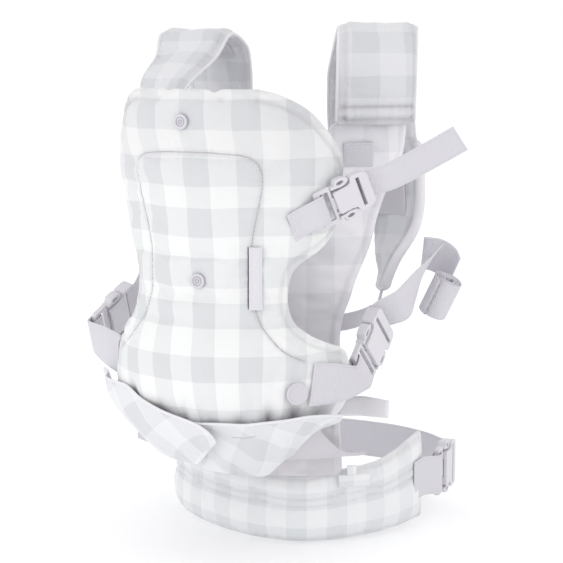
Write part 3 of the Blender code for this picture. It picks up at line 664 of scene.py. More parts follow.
def front_panel(cloth):
    """The front panel and its head support as one quilted piece, gathered along its lower edge."""
    fine = np.linspace(0.118, 0.4165, 1200)
    slope = np.gradient(np.radians(curve(PANEL_EDGE, fine)) * 0.10, fine)
    run = np.concatenate([[0], np.cumsum(np.sqrt(1 + 0.30 * slope[1:] ** 2) * np.diff(fine))])
    rows = np.interp(spread(run[-1], CELL, 0.005) * run[-1], run, fine)
    side = 2 * spread(0.30, CELL, 0.005) - 1
    height = np.repeat(rows[:, None], len(side), 1)
    angle = side[None, :] * curve(PANEL_EDGE, rows)[:, None]
    low = 1 - ease(0.120, 0.158, height)
    gather = np.sin(angle * 0.62 + 1.6 * np.sin(angle * 0.19)) * (0.6 + 0.4 * np.sin(angle * 0.11 + 1))
    hollow = np.zeros_like(height)
    for centre, width, top in HOLLOWS:
        dip = np.exp(-(((angle - centre) / width) ** 2)) * (1 - ease(top - 0.030, top, height))
        hollow = np.maximum(hollow, dip)
    radius = curve(PANEL_RADIUS, height) - 0.004 + 0.0018 * gather * low - 0.0085 * hollow
    notch = np.exp(-(((angle - 12.5) / 2.2) ** 2)) + np.exp(-(((angle + 11) / 1.6) ** 2)) * 0.5
    height = height - 0.0030 * notch * ease(0.404, 0.4165, height)
    grid = around(PANEL_AXIS, angle, radius, height)
    v = curve([(z, -c * CHECK) for z, c in PANEL_ROWS], height) - CHECK
    u = CHECK / 2 + (angle - curve(PANEL_COLUMN, height)) * 2 * CHECK / curve(PANEL_PITCH, height)
    obj = pad("front_panel_quilt", grid, u, v, 0.0030, 0.0030, 0.006, cloth)
    inner = np.zeros(height.shape, bool)
    inner[1:-1, 1:-1] = True
    # Painted shade: the pleats' hollows are darkened, and the panel darkens towards the top of the head support,
    # where less light reaches it.
    shade = np.maximum(hollow, 0.16 * ease(0.29, 0.40, height))
    set_attribute(obj.data, "shade", np.concatenate([shade.ravel(), shade[inner]]))
    inset = inset_line(QUILT_MIDDLE)
    edges = [edge_line(1), edge_line(-1), top_line()]
    rings = [ring_line(*SEAT_BUTTON, size) for size in (0.003, 0.008)]
    rings += [ring_line(*place, size) for place in SNAPS.values() for size in (0.001, 0.005)]
    puff(obj, [inset, *edges, *rings], pressure=4.5, cap=0.0042, slack=0.035)
    refine(obj)
    sew(obj, inset, 0.0013, 0.0020, 0.0005, 0.4, reach=0.010)
    for i, line in enumerate(edges):
        sew(obj, line, 0.0010, 0.0020, 0.0005, 1.1 + i)
    wrinkle(obj, 0.0009, 0.034, 3.1)
    return obj


def inset_line(lift=0.0):
    """The shaped seam on the front panel, from one hip over the head support to the other."""
    half = list(INSET_SEAM)
    points = [(-a, z) for a, z in half] + half[::-1]
    line = dense(rounded(points, 3) * (0.0018, 1), 0.001) / (0.0018, 1)
    return on_panel(line[:, 0], line[:, 1], lift)


def ring_line(angle, height, size):
    """A ring on the panel, round a snap."""
    turn = np.linspace(0, 2 * math.pi, 40)
    return on_panel(angle + size * np.cos(turn) / 0.0018, height + size * np.sin(turn), QUILT_MIDDLE)


def edge_line(sign):
    """The sewn line that runs along the panel's side edge, round its arm opening."""
    height = np.linspace(0.186, 0.345, 220)
    slope = np.gradient(np.radians(curve(PANEL_EDGE, height)) * 0.10, height)
    out = unit(np.stack([np.ones_like(slope), -slope], -1)) * 0.0075
    angle = curve(PANEL_EDGE, height) - np.degrees(out[:, 0] / 0.10)
    return on_panel(sign * angle, height - out[:, 1], QUILT_MIDDLE)


def top_line():
    """The sewn line under the rolled top edge of the head support."""
    height = np.linspace(0.352, 0.4165, 120)
    slope = np.gradient(np.radians(curve(PANEL_EDGE, height)) * 0.108, height)
    out = unit(np.stack([np.ones_like(slope), -slope], -1)) * 0.0095
    angle = curve(PANEL_EDGE, height) - np.degrees(out[:, 0] / 0.108)
    right = np.stack([angle, np.minimum(height - out[:, 1], 0.4070)], -1)
    line = rounded(np.concatenate([right * (-1, 1), right[::-1]]) * (0.0018, 1), 1) / (0.0018, 1)
    return on_panel(line[:, 0], line[:, 1], QUILT_MIDDLE)


def inner_panel(cloth):
    """The panel against the wearer's chest, scooped between the strap roots."""
    base = 0.0560 + spread(0.329, CELL, 0.005) * 0.329
    side = 2 * spread(0.22, CELL, 0.005) - 1
    angle = side[None, :] * curve(INNER_EDGE, base)[:, None]
    rise = np.clip((base - 0.253) / (0.385 - 0.253), 0, 1)[:, None]
    height = base[:, None] - 0.050 * (1 - ease(14, 36, abs(angle))) * rise
    grid = around((0, 0), angle, 0.130, height)
    obj = pad("inner_panel_cloth", grid, np.radians(angle) * 0.13, height, 0.0028, 0.0028, 0.005, cloth)
    lines = []
    for sign in (1, -1):
        run = np.linspace(0.10, 0.378, 200)
        lines.append(around((0, 0), sign * (curve(INNER_EDGE, run) - 4.0), 0.130, run))
    puff(obj, lines, pressure=4, cap=0.0025)
    refine(obj)
    for i, line in enumerate(lines):
        sew(obj, line, 0.0010, 0.0020, 0.0004, 2.0 + i)
    # Painted shade: the panel darkens towards its lower edge, where it lies in shadow behind the seat.
    height = points_of(obj.data)[:, 2]
    set_attribute(obj.data, "shade", np.maximum(get_attribute(obj.data, "shade"),
                                                0.35 * (1 - ease(0.085, 0.125, height))))
    wrinkle(obj, 0.0012, 0.040, 5.3)
    return obj


def seat(cloth):
    """The seat under the baby, from inside the front panel's lower edge in to the belt."""
    along = spread(0.10, CELL, 0.004)[:, None]
    side = (2 * spread(0.22, CELL, 0.004) - 1)[None, :]
    rim = around(PANEL_AXIS, side * 74, 0.080, 0.124)
    root = around((0, 0), side * 46, 0.1385, 0.0785)
    grid = root + (rim - root) * along[..., None]
    grid[..., 2] -= 0.012 * np.sin(math.pi * along)
    u, v = side * 0.11 + 0 * along, along * 0.10 + 0 * side
    obj = pad("seat_cloth", grid, u, v, 0.0022, 0.0022, 0.004, cloth)
    refine(obj)
    wrinkle(obj, 0.0012, 0.03, 7.7)
    return obj


def belt_point(angle, share, lift=0.0):
    """Points of the belt: share runs from its lower to its upper edge."""
    low = -0.0065 * (1 - ease(0, 60, np.abs(np.asarray(angle, float) - 18)))
    height = low + (curve(BELT_TOP, angle) - low) * share
    return around((0, 0), angle, curve(BELT_RADIUS, angle) + lift, height)


def belt(cloth):
    """The padded belt with its quilted double line."""
    angle = (-154 + 238 * spread(0.525, CELL, 0.007))[None, :]
    share = spread(0.068, 0.0036, 0.006)[:, None]
    grid = belt_point(angle + 0 * share, share + 0 * angle)
    u = (np.radians(angle) * 0.134 + 0.0045) * 0.92 + 0 * share
    down = (1 - share) * 0.0665 - 0.0165 + 0 * angle
    obj = pad("belt_padding", grid, u, down, 0.0058, 0.0058, 0.0085, cloth)
    turn = np.linspace(-150, 80, 500)
    wave = 0.012 * np.sin(np.radians(turn) * 9 + 0.7) + 0.008 * np.sin(np.radians(turn) * 23)
    lines = [belt_point(turn, 0.665 + wave * 0.5), belt_point(turn, 0.555 + wave)]
    puff(obj, lines, pressure=5, cap=0.0030, slack=0.03)
    refine(obj)
    # The quilted lines get only light painted shade in their grooves; the belt's edge lines get the usual amount.
    for i, line in enumerate(lines):
        sew(obj, line, 0.0012, 0.0012, 0.0005, 0.9 + 2 * i, painted_seam_shade=0.07)
    sew(obj, belt_point(turn, 0.93), 0.0010, 0.0016, 0.0004, 2.2)
    sew(obj, belt_point(turn, 0.07), 0.0010, 0.0016, 0.0004, 3.3)
    wrinkle(obj, 0.0008, 0.026, 9.4)
    return obj, lines


def shoulder(name, stations, cloth, shift):
    """A padded shoulder strap, bound along both edges."""
    centres = np.array([s[0] for s in stations])
    length = lengths(centres)[-1]
    across, along = spread(0.080, CELL, 0.006), spread(length, CELL, 0.006)
    grid = path_grid(stations, across, along)
    width = np.linalg.norm(grid[:, -1] - grid[:, 0], axis=1)[:, None]
    u = ((across[None, :] - 0.5) * np.maximum(width, 0.05) + 0.029) * 0.74 + shift
    v = lengths(grid[:, len(across) // 2])[:, None] - 0.0245
    obj = pad(name, grid, u, v + 0 * u, 0.0050, 0.0050, 0.0075, cloth)
    fine = np.linspace(0, 1, 400)
    edges = path_grid(stations, np.array([0.085, 0.915]), fine)
    root = path_grid(stations, np.linspace(0.02, 0.98, 80), np.array([0.0165 / length, 0.0060 / length]))
    lines = [edges[:, 0], edges[:, 1], root[0], root[1]]
    puff(obj, lines, pressure=4.5, cap=0.0030, slack=0.03)
    refine(obj)
    for i, line in enumerate(lines[:2]):
        sew(obj, line, 0.0016, 0.0019, 0.0005, 0.5 + 3 * i)
    # The root seams get heavy painted shade in their grooves and pucker troughs.
    for i, line in enumerate(lines[2:]):
        sew(obj, line, 0.0024, 0.0018, 0.0011, 1.5 + 2 * i, reach=0.005, painted_seam_shade=0.40)
    wrinkle(obj, 0.0009, 0.030, 11.9 + shift * 100)
    return obj, lines


def flap_grid(edges, across, along):
    """Grid between a flap's lower and top edges, bowed outwards."""
    rows = []
    for points in edges:
        stations = [(point, (0, 0, 1), 0.0) for point in points]
        rows.append(path_grid(stations, np.array([0.5]), across)[:, 0])
    top, low = rows
    grid = low[None] + (top - low)[None] * along[:, None, None]
    outward = unit((grid - np.array([0.0, -0.149, 0.0])) * (1, 1, 0))
    bow = 0.009 * np.sin(math.pi * along)[:, None] * np.sin(math.pi * across)[None, :] ** 2
    return grid + outward * bow[..., None]


def flap(side, cloth):
    """One of the fabric flaps under the seat, with soft folds."""
    across, along = spread(0.21, 0.0036, 0.0018), spread(0.06, 0.0036, 0.0018)
    grid = flap_grid(FLAPS[side], across, along)
    u = np.repeat((across * 0.21)[None, :], len(along), 0)
    v = np.repeat((along * 0.06)[:, None], len(across), 1)
    fold = 0.0011 * np.sin(u * 190 + v * 120 + 2 * np.sin(v * 60)) * np.sin(math.pi * along)[:, None]
    normal = unit(np.cross(np.gradient(grid, axis=1), np.gradient(grid, axis=0)))
    obj = pad(f"flap_{side}_cloth", grid + normal * fold[..., None], u, v, 0.0012, 0.0012, 0.0018, cloth)
    refine(obj)
    return obj


def ribbon(name, stations, look, thickness=WEBBING, by_station=False, cell=0.003):
    """A length of webbing through its stations, with firm rounded edges."""
    length = lengths(np.array([s[0] for s in stations]))[-1]
    width = max(s[2] for s in stations)
    half = thickness / 2
    across = spread(width, cell, half * 1.3)
    along = spread(length, cell * (0.35 if by_station else 0.8), half * 1.3)
    grid = path_grid(stations, across, along, by_station)
    u = np.repeat((across * width)[None, :], len(along), 0)
    v = np.repeat(lengths(grid[:, len(across) // 2])[:, None], len(across), 1)
    return pad(name, grid, u, v, half, half, half * 1.3, look)


def buckle_frame(name):
    """The matrix of a buckle: X along the pull, Y across the webbing, Z outward, origin at the male bar."""
    _, origin, along, outward = BUCKLES[name]
    x = Vector(along).normalized()
    z = (Vector(outward) - x * x.dot(Vector(outward))).normalized()
    matrix = Matrix((x, z.cross(x), z)).transposed().to_4x4()
    matrix.translation = Vector(origin)
    return matrix


def looped(name, lead, width):
    """Stations that follow lead, pass over a buckle's male bar and turn back through its slot."""
    matrix = buckle_frame(name)
    webbing = BUCKLES[name][0]
    bar = 0.10 * BUCKLE_LENGTH[webbing]
    lift = 0.2 * BUCKLE_THICKNESS[webbing] + WEBBING / 2 + 0.0010
    side = matrix.to_3x3() @ Vector((0, 1, 0))
    half_turn = [(-0.004, 1.0), (0.8 * bar, 1.0), (bar + 0.0012, 0.85), (bar + 0.0022, 0.35)]
    turn = half_turn + [(x, -z) for x, z in reversed(half_turn)]
    return lead + [(matrix @ Vector((x, 0, z * lift)), side, width) for x, z in turn]


def from_ladder(name, stations, width):
    """Stations that leave a female buckle's ladder under its last bar, then follow the given ones."""
    matrix = buckle_frame(name)
    webbing = BUCKLES[name][0]
    length, depth = BUCKLE_LENGTH[webbing], -0.3 * BUCKLE_THICKNESS[webbing]
    side = matrix.to_3x3() @ Vector((0, 1, 0))
    inside = [(matrix @ Vector((x * length, 0, depth)), side, width) for x in (0.79, 0.9, 1.03)]
    return inside + stations


def tab_stations():
    """Stations of each webbing tab that is looped round a male bar."""
    slant = (-0.19, -0.34, 0.91)
    leads = {
        "upper_right": ([(on_panel(49.5, 0.2980, 0.0016), slant, NARROW),
                         (on_panel(55, 0.3040, 0.0040), slant, NARROW)], NARROW),
        "upper_left": ([(on_panel(-64, 0.3160, 0.0018), (0, 0.2, -1), NARROW),
                        (on_panel(-74, 0.3220, 0.0040), (0, 0.4, -0.9), NARROW)], NARROW),
        "lower_right": ([(on_panel(56, 0.1635, 0.0020), (0.10, 0.10, 0.98), WIDE),
                         (on_panel(68, 0.162, 0.0020), (0.08, -0.20, 0.97), WIDE),
                         (on_panel(78, 0.161, 0.0024), (0.04, -0.50, 0.86), WIDE)], WIDE),
        "lower_left": ([(on_panel(-70, 0.162, 0.0020), (0, 0, -1), WIDE),
                        (on_panel(-80, 0.1655, 0.0060), (-0.05, 0.05, -1), WIDE),
                        ((-0.1400, -0.1570, 0.1700), (-0.10, 0.15, -0.98), WIDE)], WIDE),
        "waist": ([(belt_point(a, 0.5, 0.0084), (0, 0, 1), WIDE) for a in (73, 74, 81)], WIDE),
    }
    return {name: looped(name, lead, width) for name, (lead, width) in leads.items()}


def pull_stations():
    """Stations of the webbing that is fixed to each female half."""
    back = [(around((0, 0), a, r, 0.036), (0, 0, 1), WIDE)
            for a, r in ((132, 0.1365), (145, 0.134), (165, 0.131), (185, 0.1315), (200, 0.1345),
                         (212, 0.1362), (222, 0.1362), (232, 0.1362))]
    ends = {
        "upper_right": ([((0.1440, -0.1500, 0.3410), (-0.25, -0.36, 0.90), NARROW),
                         ((0.1680, -0.1220, 0.3570), (-0.36, -0.36, 0.86), NARROW),
                         ((0.1883, -0.1000, 0.3715), (-0.46, -0.30, 0.83), NARROW)], NARROW),
        "upper_left": ([((-0.1205, -0.1065, 0.3752), (0, 0.6, -0.8), NARROW)], NARROW),
        "lower_right": ([((0.1300, -0.0850, 0.2180), (-0.03, -0.62, 0.78), WIDE),
                         ((0.1360, -0.0700, 0.2335), (0.225, -0.60, 0.766), WIDE),
                         ((0.1410, -0.0550, 0.2490), (0.50, -0.606, 0.61), WIDE),
                         ((0.1460, -0.0420, 0.2640), (0.60, -0.70, 0.38), WIDE)], WIDE),
        "lower_left": ([((-0.1520, -0.0520, 0.2280), (-0.10, 0.52, -0.80), WIDE),
                        ((-0.1370, -0.0200, 0.2480), (0.10, 0.52, -0.85), WIDE)], WIDE),
        "waist": (back, WIDE),
    }
    return {name: from_ladder(name, end, width) for name, (end, width) in ends.items()}


def roll(name, centre, axis, width, radius, look):
    """Webbing wound up into a roll, whose turns show on both ends."""
    matrix = facing(centre, axis)
    turns = 4.5
    t = np.linspace(0, 1, int(turns * 26))
    angle = 2 * math.pi * turns * t
    reach = 0.0042 + (radius - WEBBING / 2 - 0.0042) * t
    across = spread(width, 0.005, 0.0010)
    spot = np.stack([reach * np.cos(angle), reach * np.sin(angle)], -1)
    grid = np.zeros((len(t), len(across), 3))
    grid[..., :2] = spot[:, None]
    grid[..., 2] = (across * width)[None, :]
    turn = np.array(matrix.to_3x3())
    grid = grid @ turn.T + np.array(matrix.translation)
    v = np.repeat(lengths(spot)[:, None], len(across), 1)
    u = np.repeat((across * width)[None, :], len(t), 0)
    return pad(name, grid, u, v, WEBBING / 2, WEBBING / 2, WEBBING * 0.65, look)


def across_line(stations, along, by_station=False):
    """A line across the webbing, at that share of its length."""
    return path_grid(stations, np.linspace(0.07, 0.93, 40), np.array([along]), by_station)[0]


def laid_strip(name, stations, low, high, share, lift, look):
    """A thin panel sewn on a strap's inner side, between two shares of the strap's length."""
    across = 0.5 + (spread(0.05, 0.004, 0.002) - 0.5) * share
    along = low + (high - low) * spread(0.10, 0.004, 0.002)
    grid = path_grid(stations, across, along)
    normal = unit(np.cross(np.gradient(grid, axis=1), np.gradient(grid, axis=0)))
    u = np.repeat(across[None, :] * 0.08, len(along), 0)
    v = np.repeat(along[:, None] * 0.3, len(across), 1)
    return pad(name, grid - normal * lift, u, v, 0.0012, 0.0012, 0.002, look)


# ---- the scene -------------------------------------------------------------------------------------------

for obj in list(bpy.data.objects):
    bpy.data.objects.remove(obj)
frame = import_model()
CAD_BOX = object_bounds()

GINGHAM = woven("gingham", (0.83, 0.835, 0.835), (0.735, 0.75, 0.755), (0.635, 0.65, 0.665))
BELT_GINGHAM = woven("belt_gingham", (0.82, 0.825, 0.835), (0.75, 0.765, 0.78), (0.67, 0.69, 0.71), 0.0175)
# The straps' gingham is a darker, mauve-tinted copy of the panel's: painted shade on the straps.
STRAP_GINGHAM = woven("strap_gingham", (0.73, 0.73, 0.755), (0.675, 0.685, 0.71), (0.60, 0.615, 0.64), 0.0195)
# The inner panel's gingham is a lighter, mauve-tinted copy of the panel's: painted light that makes up for the
# shade inside the carrier, tinted like that shade.
INNER_GINGHAM = woven("inner_gingham", (0.87, 0.855, 0.89), (0.81, 0.80, 0.835), (0.74, 0.73, 0.765))
FLAP_GINGHAM = woven("flap_gingham", (0.78, 0.785, 0.81), (0.715, 0.725, 0.75), (0.63, 0.645, 0.67), bias=True)
# The lining's mauve grey is its own tone made darker and more mauve with painted shade, for the carrier's inside
# and the straps' undersides.
LINING = plain_cloth("lining", (0.61, 0.595, 0.63), (0.53, 0.515, 0.55))
BINDING = plain_cloth("binding", (0.80, 0.79, 0.82), (0.72, 0.70, 0.74))
WEB = ribbed("webbing", (0.69, 0.675, 0.72), (0.49, 0.47, 0.53))
PLASTIC = moulded("buckle_plastic", (0.69, 0.675, 0.715), 0.46, 0.10)
SNAP = moulded("snap_plastic", (0.62, 0.60, 0.65), 0.34, 0.04)
LABEL = ribbed("label_weave", (0.74, 0.73, 0.77), (0.55, 0.54, 0.60), 0.0020)
THREAD = thread("thread", (0.80, 0.79, 0.83))
# A grey cord for painted shadow lines: the shade in the inset seam's groove and in the flap's buttonhole slit.
SHADOW_CORD = thread("painted_shadow_cord", (0.50, 0.48, 0.52))
# A near-black cord for a painted shadow: the slit beside the side label.
SLIT_SHADOW = thread("painted_slit_shadow", (0.22, 0.20, 0.24))


def fit(obj, body, slot, *nodes):
    """The piece rides on that body, and stands for those CAD nodes."""
    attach(obj, body)
    if nodes:
        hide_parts(*nodes)
    return obj


def split_at_fold(obj, slot, body_nodes=(), head_nodes=()):
    """Cuts the piece where the head support folds: the lower half stays, and the upper one goes with the head."""
    head = bpy.data.objects.new(f"{obj.name}_head", obj.data.copy())
    bpy.context.scene.collection.objects.link(head)
    for half, above in ((obj, False), (head, True)):
        body = bmesh.new()
        body.from_mesh(half.data)
        shape = body.verts[:] + body.edges[:] + body.faces[:]
        cut = bmesh.ops.bisect_plane(body, geom=shape, plane_co=FOLD_POINT, plane_no=FOLD_NORMAL,
                                     clear_outer=not above, clear_inner=above)
        edges = [part for part in cut["geom_cut"] if isinstance(part, bmesh.types.BMEdge)]
        for edge in edges:
            edge.smooth = False
        cap = bmesh.ops.triangle_fill(body, use_beauty=True, edges=edges) if edges else {"geom": []}
        for face in (part for part in cap["geom"] if isinstance(part, bmesh.types.BMFace)):
            face.smooth = False
        body.to_mesh(half.data)
        body.free()
    fit(obj, "carrier", slot, *body_nodes)
    fit(head, "head_support", slot, *head_nodes)


def on_surface(obj, line, axis=PANEL_AXIS):
    """The line moved in or out, away from an upright axis, on to the piece's outer face."""
    tree = BVHTree.FromObject(obj, bpy.context.evaluated_depsgraph_get())
    found = []
    for point in line:
        way = Vector((point[0] - axis[0], point[1] - axis[1], 0)).normalized()
        place, _, _, _ = tree.ray_cast(Vector(point) + way * 0.02, -way, 0.05)
        if place is not None:
            found.append(place)
    return np.array(found)


panel = front_panel(GINGHAM)
inset = on_surface(panel, inset_line())
# A grey cord in the inset seam's groove, as its painted shadow.
split_at_fold(tube("inset_seam_shadow", inset, 0.00042, SHADOW_CORD, 6), "gingham_fabric")
sewn = stitches("inset_stitches", panel, inset + np.array([0, 0, -0.0034]), THREAD)
split_at_fold(sewn, "gingham_fabric")
# A near-black cord along the side label's edge, as the painted shadow in its slit.
label_slit_shadow = on_surface(panel, on_panel(np.full(40, 28.2), np.linspace(0.2290, 0.2830, 40)))
fit(tube("label_slit_shadow", label_slit_shadow, 0.0006, SLIT_SHADOW, 6), "carrier", "label_fabric")
split_at_fold(panel, "gingham_fabric", ["body_panel"], ["head_panel"])

fit(inner_panel(INNER_GINGHAM), "carrier", "lining_fabric", "inner_panel")
fit(seat(LINING), "carrier", "lining_fabric", "seat_base")
pad_obj, belt_lines = belt(BELT_GINGHAM)
fit(pad_obj, "carrier", "gingham_fabric", "belt_pad")
for i, line in enumerate(belt_lines):
    laid = on_surface(pad_obj, line, (0, 0))
    fit(stitches(f"belt_stitches_{i}", pad_obj, laid, THREAD), "carrier", "gingham_fabric")

for word, stations, shift in (("right", STRAP_RIGHT, 0.0), ("left", STRAP_LEFT, 0.006)):
    strap, lines = shoulder(f"strap_{word}_padding", stations, STRAP_GINGHAM, shift)
    fine = np.linspace(0.005, 0.995, 260)
    rims = path_grid(stations, np.array([0.0, 1.0]), fine)
    for k in (0, 1):
        fit(tube(f"strap_{word}_piping_{k}", rims[:, k], 0.0016, BINDING), "carrier", "gingham_fabric")
        fit(stitches(f"strap_{word}_stitches_{k}", strap, lines[k], THREAD), "carrier", "gingham_fabric")
    fit(strap, "carrier", "gingham_fabric", f"shoulder_pad_{word}")

for side in ("left", "right"):
    cloth = flap(side, FLAP_GINGHAM)
    across = np.linspace(0.02, 0.985, 200)
    edge = flap_grid(FLAPS[side], across, np.array([0.93]))[0]
    fit(stitches(f"flap_{side}_stitches", cloth, edge + unit(edge - (0, -0.149, edge[0][2])) * 0.004, THREAD),
        f"flap_{side}", "gingham_fabric")
    piping = flap_grid(FLAPS[side], np.linspace(0.0, 1.0, 240), np.array([0.995]))[0]
    fit(tube(f"flap_{side}_piping", piping, 0.0013, BINDING), f"flap_{side}", "gingham_fabric")
    fit(cloth, f"flap_{side}", "gingham_fabric", f"seat_flap_{side}")


def cad_name(buckle, kind):
    """The CAD node of that kind of webbing at a buckle."""
    level, _, side = buckle.partition("_")
    return f"{level}_{kind}_{side}" if side else f"belt_{kind}"


TABS, PULLS = tab_stations(), pull_stations()
for name, stations in TABS.items():
    fit(ribbon(f"{name}_tab_webbing", stations, WEB, by_station=True), "carrier", "webbing", cad_name(name, "tab"))
for name, stations in PULLS.items():
    fit(ribbon(f"{name}_pull_webbing", stations, WEB), f"{name}_pull", "webbing", cad_name(name, "webbing"))

LOOSE = {
    "lower_tail_right": ("lower_right_pull", WEBBING,
                         [((0.1240, -0.0200, 0.2575), (-0.25, 0.45, -0.86), WIDE),
                          ((0.1350, -0.0120, 0.2550), (-0.36, 0.36, -0.86), WIDE),
                          ((0.1470, -0.0100, 0.2470), (-0.42, 0.28, -0.86), WIDE),
                          ((0.1520, -0.0125, 0.2370), (-0.45, 0.15, -0.88), WIDE)]),
    "belt_tail": ("carrier", WEBBING,
                  [((-0.1360, -0.0300, 0.052), (0.1, -0.1, 1), 0.030),
                   ((-0.1560, -0.0320, 0.060), (0.1, -0.1, 1), 0.030),
                   ((-0.1800, -0.0300, 0.066), (0.1, -0.1, 1), 0.030)]),
    "seat_tab_right": ("carrier", 0.004,
                       [((0.0880, -0.1360, 0.128), (0, 0.1, 1), 0.016),
                        ((0.1100, -0.1300, 0.130), (0, 0.1, 1), 0.018),
                        ((0.1360, -0.1340, 0.130), (0, 0.1, 1), 0.016)]),
    "strap_anchor_right": ("carrier", WEBBING,
                           [((0.0922, -0.0405, 0.2265), (0.42, -0.90, 0.15), 0.016),
                            ((0.0910, -0.0500, 0.2110), (0.5, -0.7, 0.5), 0.016),
                            ((0.0865, -0.0720, 0.2020), (0.1, -0.1, 1), 0.016),
                            ((0.0775, -0.0945, 0.1995), (0, 0, 1), 0.016),
                            ((0.0690, -0.1028, 0.1990), (0, 0, 1), 0.016)]),
    "strap_anchor_left": ("carrier", WEBBING,
                          [((-0.0973, -0.0396, 0.2320), (0.70, 0.71, 0), 0.016),
                           ((-0.0935, -0.0520, 0.2140), (0.5, 0.7, -0.5), 0.016),
                           ((-0.0875, -0.0730, 0.2035), (0.1, 0.1, -1), 0.016),
                           ((-0.0775, -0.0945, 0.1995), (0, 0, -1), 0.016),
                           ((-0.0690, -0.1028, 0.1990), (0, 0, -1), 0.016)]),
}
for name, (body, thickness, stations) in LOOSE.items():
    look, slot = (BINDING, "gingham_fabric") if name == "seat_tab_right" else (WEB, "webbing")
    fit(ribbon(f"{name}_ribbon", stations, look, thickness), body, slot, name)

fit(roll("roll_right", (0.1370, -0.0262, 0.2020), (0.462, -0.094, 0.878), WIDE, 0.0145, WEB),
    "lower_right_pull", "webbing", "lower_roll_right")
fit(roll("roll_left", (-0.1060, 0.0000, 0.1950), (-0.2, 0, 0.98), WIDE, 0.0145, WEB),
    "lower_left_pull", "webbing", "lower_roll_left")

for word, sign in (("right", 1), ("left", -1)):
    share = spread(0.0272, 0.003, 0.001)
    rise = spread(0.022, 0.003, 0.001)
    angle = (sign * (42.5 + 12 * (share - 0.5)))[None, :] + 0 * rise[:, None]
    height = (0.343 + 0.022 * rise)[:, None] + 0 * share[None, :]
    grid = around((0, 0), angle, 0.1348, height)
    square = pad(f"patch_{word}", grid, share[None, :] * 0.027 + 0 * height, height, 0.0009, 0.0009, 0.001, WEB)
    fit(square, "carrier", "webbing", f"strap_patch_{word}")

share, rise = spread(0.0114, 0.0022, 0.0006), spread(0.054, 0.0022, 0.0006)
grid = on_panel((28.6 + 6.6 * share)[None, :] + 0 * rise[:, None],
                (0.2285 + 0.054 * rise)[:, None] + 0 * share[None, :], 0.0013)
tag = pad("label_ribbon", grid, share[None, :] * 0.0114 + 0 * rise[:, None],
          rise[:, None] * 0.054 + 0 * share[None, :], 0.0005, 0.0005, 0.0006, LABEL)
fit(tag, "carrier", "label_fabric", "side_label")

RING = ((0, 0), (0.0065, 0), (0.0066, 0.0007), (0.0064, 0.0013), (0.0058, 0.0018), (0.0050, 0.0019),
        (0.0044, 0.0017), (0.0040, 0.0005), (0.0035, 0.0005), (0.0032, 0.0014), (0.0027, 0.0015),
        (0.0023, 0.0013), (0.0021, 0.0003), (0.0011, 0.0003), (0.0009, 0.0016), (0.0005, 0.0019), (0, 0.0019))
BUTTON = ((0, 0), (0.0086, 0), (0.0096, 0.0006), (0.0100, 0.0013), (0.0099, 0.0021), (0.0094, 0.0027),
          (0.0086, 0.0029), (0.0080, 0.0027), (0.0076, 0.0024), (0.0050, 0.0025), (0, 0.0026))
for node, body, place, profile, lift in (
        ("head_snap", "head_support", SNAPS["head_snap"], RING, 0.0004),
        ("body_snap", "carrier", SNAPS["body_snap"], RING, 0.0004),
        ("seat_button", "carrier", SEAT_BUTTON, BUTTON, 0.0012)):
    matrix = facing(on_panel(*place, lift), around((0, 0), place[0], 1, 0))
    fit(turned(f"{node}_turned", matrix, profile, SNAP), body, "snap_plastic", node)

for name in BUCKLES:
    for part in ("male", "female", "prong_a", "prong_b"):
        shell = frame["nodes"][f"{name}_buckle_{part}"]
        for material_slot in shell.material_slots:
            material_slot.material = PLASTIC
        weld = shell.modifiers.new("Weld", "WELD")
        weld.merge_threshold = 0.00005
        bevel = shell.modifiers.new("Bevel", "BEVEL")
        bevel.width = 0.0007
        bevel.segments = 3
        bevel.limit_method = "ANGLE"
        bevel.angle_limit = math.radians(35)

# Lining strips on the straps' inner sides; their dark mauve is partly painted shade.
fit(laid_strip("strap_right_lining", STRAP_RIGHT, 0.52, 0.80, 0.62, 0.0058, LINING), "carrier", "lining_fabric")
fit(laid_strip("strap_left_lining", STRAP_LEFT, 0.30, 0.44, 0.66, 0.0058, LINING), "carrier", "lining_fabric")
fine = np.linspace(0.60, 0.995, 200)
rim = path_grid(STRAP_RIGHT, np.array([1.0, 0.0]), fine)
fit(tube("strap_right_rolled_edge", rim[:, 0], 0.0046, BINDING, 12), "carrier", "gingham_fabric")

for name, low_angle, high_angle, low_z, high_z, lift, half in (
        ("belt_keeper", 35, 48, 0.0465, 0.0585, 0.0085, 0.0022),
        ("belt_keeper_neck", 38.5, 42.5, 0.0550, 0.0670, 0.0078, 0.0014)):
    share, rise = spread(0.026, 0.003, 0.0015), spread(0.012, 0.002, 0.0015)
    angle = (low_angle + (high_angle - low_angle) * share)[None, :] + 0 * rise[:, None]
    height = (low_z + (high_z - low_z) * rise)[:, None] + 0 * angle
    grid = around((0, 0), angle, curve(BELT_RADIUS, angle) + lift, height)
    piece = refine(pad(name, grid, np.radians(angle) * 0.123, height, half, half, 0.0030, BELT_GINGHAM))
    fit(piece, "carrier", "gingham_fabric")

slit = flap_grid(FLAPS["right"], np.linspace(0.55, 0.68, 30), np.array([0.78]))[0]
slit = on_surface(bpy.data.objects["flap_right_cloth"], slit)
# A grey cord as the painted shadow in the flap's buttonhole slit.
fit(tube("flap_right_buttonhole_shadow", slit, 0.0004, SHADOW_CORD, 6), "flap_right", "gingham_fabric")

for name, body, stations, along, by_station in (
        ("upper_right_tab_webbing", "carrier", TABS["upper_right"], 0.14, True),
        ("lower_right_tab_webbing", "carrier", TABS["lower_right"], 0.055, True),
        ("lower_right_tab_webbing", "carrier", TABS["lower_right"], 0.10, True),
        ("upper_right_pull_webbing", "upper_right_pull", PULLS["upper_right"], 0.86, False),
        ("upper_right_pull_webbing", "upper_right_pull", PULLS["upper_right"], 0.96, False)):
    line = across_line(stations, along, by_station)
    row = stitches(f"{name}_row_{int(1000 * along)}", bpy.data.objects[name], line, THREAD)
    fit(row, body, "webbing")

# ---- floor, light and camera -----------------------------------------------------------------------------

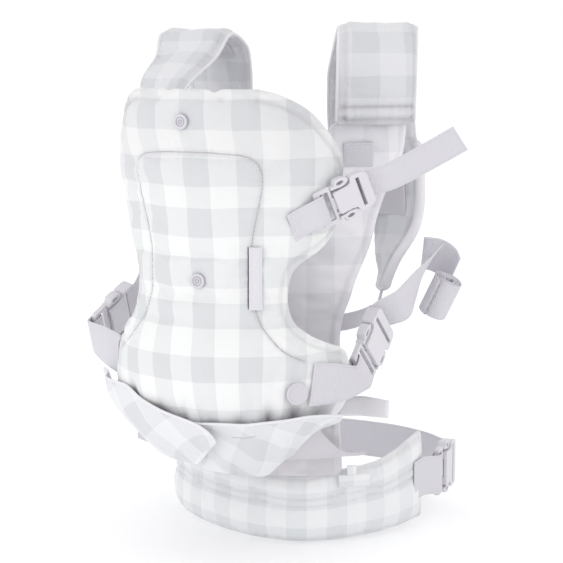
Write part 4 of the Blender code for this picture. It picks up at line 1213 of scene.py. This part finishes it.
low, high = (Vector(corner) for corner in CAD_BOX)
mesh = bpy.data.meshes.new("floor")
mesh.from_pydata([(-40, -40, low.z - 0.001), (40, -40, low.z - 0.001), (40, 40, low.z - 0.001),
                  (-40, 40, low.z - 0.001)], [], [(0, 1, 2, 3)])
floor_look = Nodes("floor_white", 0.9, specular=0.1)
floor_look.shader.inputs["Base Color"].default_value = (0.95, 0.95, 0.955, 1)
floor_look.shader.inputs["Emission Color"].default_value = (1, 1, 1, 1)
floor_look.shader.inputs["Emission Strength"].default_value = 0.12
floor = link("floor", mesh, floor_look.material)

world = bpy.context.scene.world or bpy.data.worlds.new("studio")
bpy.context.scene.world = world
world.use_nodes = True
world.node_tree.nodes["Background"].inputs["Color"].default_value = (1.0, 1.0, 1.0, 1)
world.node_tree.nodes["Background"].inputs["Strength"].default_value = 1.0


def area(name, place, target, size, power, colour=(1, 1, 1)):
    """A soft square light aimed at a point."""
    lamp = bpy.data.lights.new(name, "AREA")
    lamp.size = size
    lamp.energy = power
    lamp.color = colour
    obj = bpy.data.objects.new(name, lamp)
    bpy.context.scene.collection.objects.link(obj)
    obj.location = place
    obj.rotation_euler = (Vector(target) - Vector(place)).to_track_quat("-Z", "Y").to_euler()


area("key", (-0.6, -1.5, 0.25), (0, -0.1, 0.14), 1.0, 4.5)
area("side", (1.8, -0.5, 0.9), (0, -0.1, 0.24), 1.0, 2)

TARGET = Vector((0, -0.0686, 0.229))
AZIMUTH, ELEVATION, DISTANCE = math.radians(25), math.radians(8), 1.7
away = Vector((math.sin(AZIMUTH) * math.cos(ELEVATION), -math.cos(AZIMUTH) * math.cos(ELEVATION),
               math.sin(ELEVATION)))
camera = bpy.data.objects.new("camera", bpy.data.cameras.new("camera"))
bpy.context.scene.collection.objects.link(camera)
camera.data.sensor_width = 36
camera.data.lens = DISTANCE / 0.00095 * 36 / 563
camera.location = TARGET + away * DISTANCE
camera.rotation_euler = (-away).to_track_quat("-Z", "Y").to_euler()
bpy.context.scene.camera = camera
bpy.context.scene.view_settings.view_transform = "Standard"

bpy.context.view_layer.update()
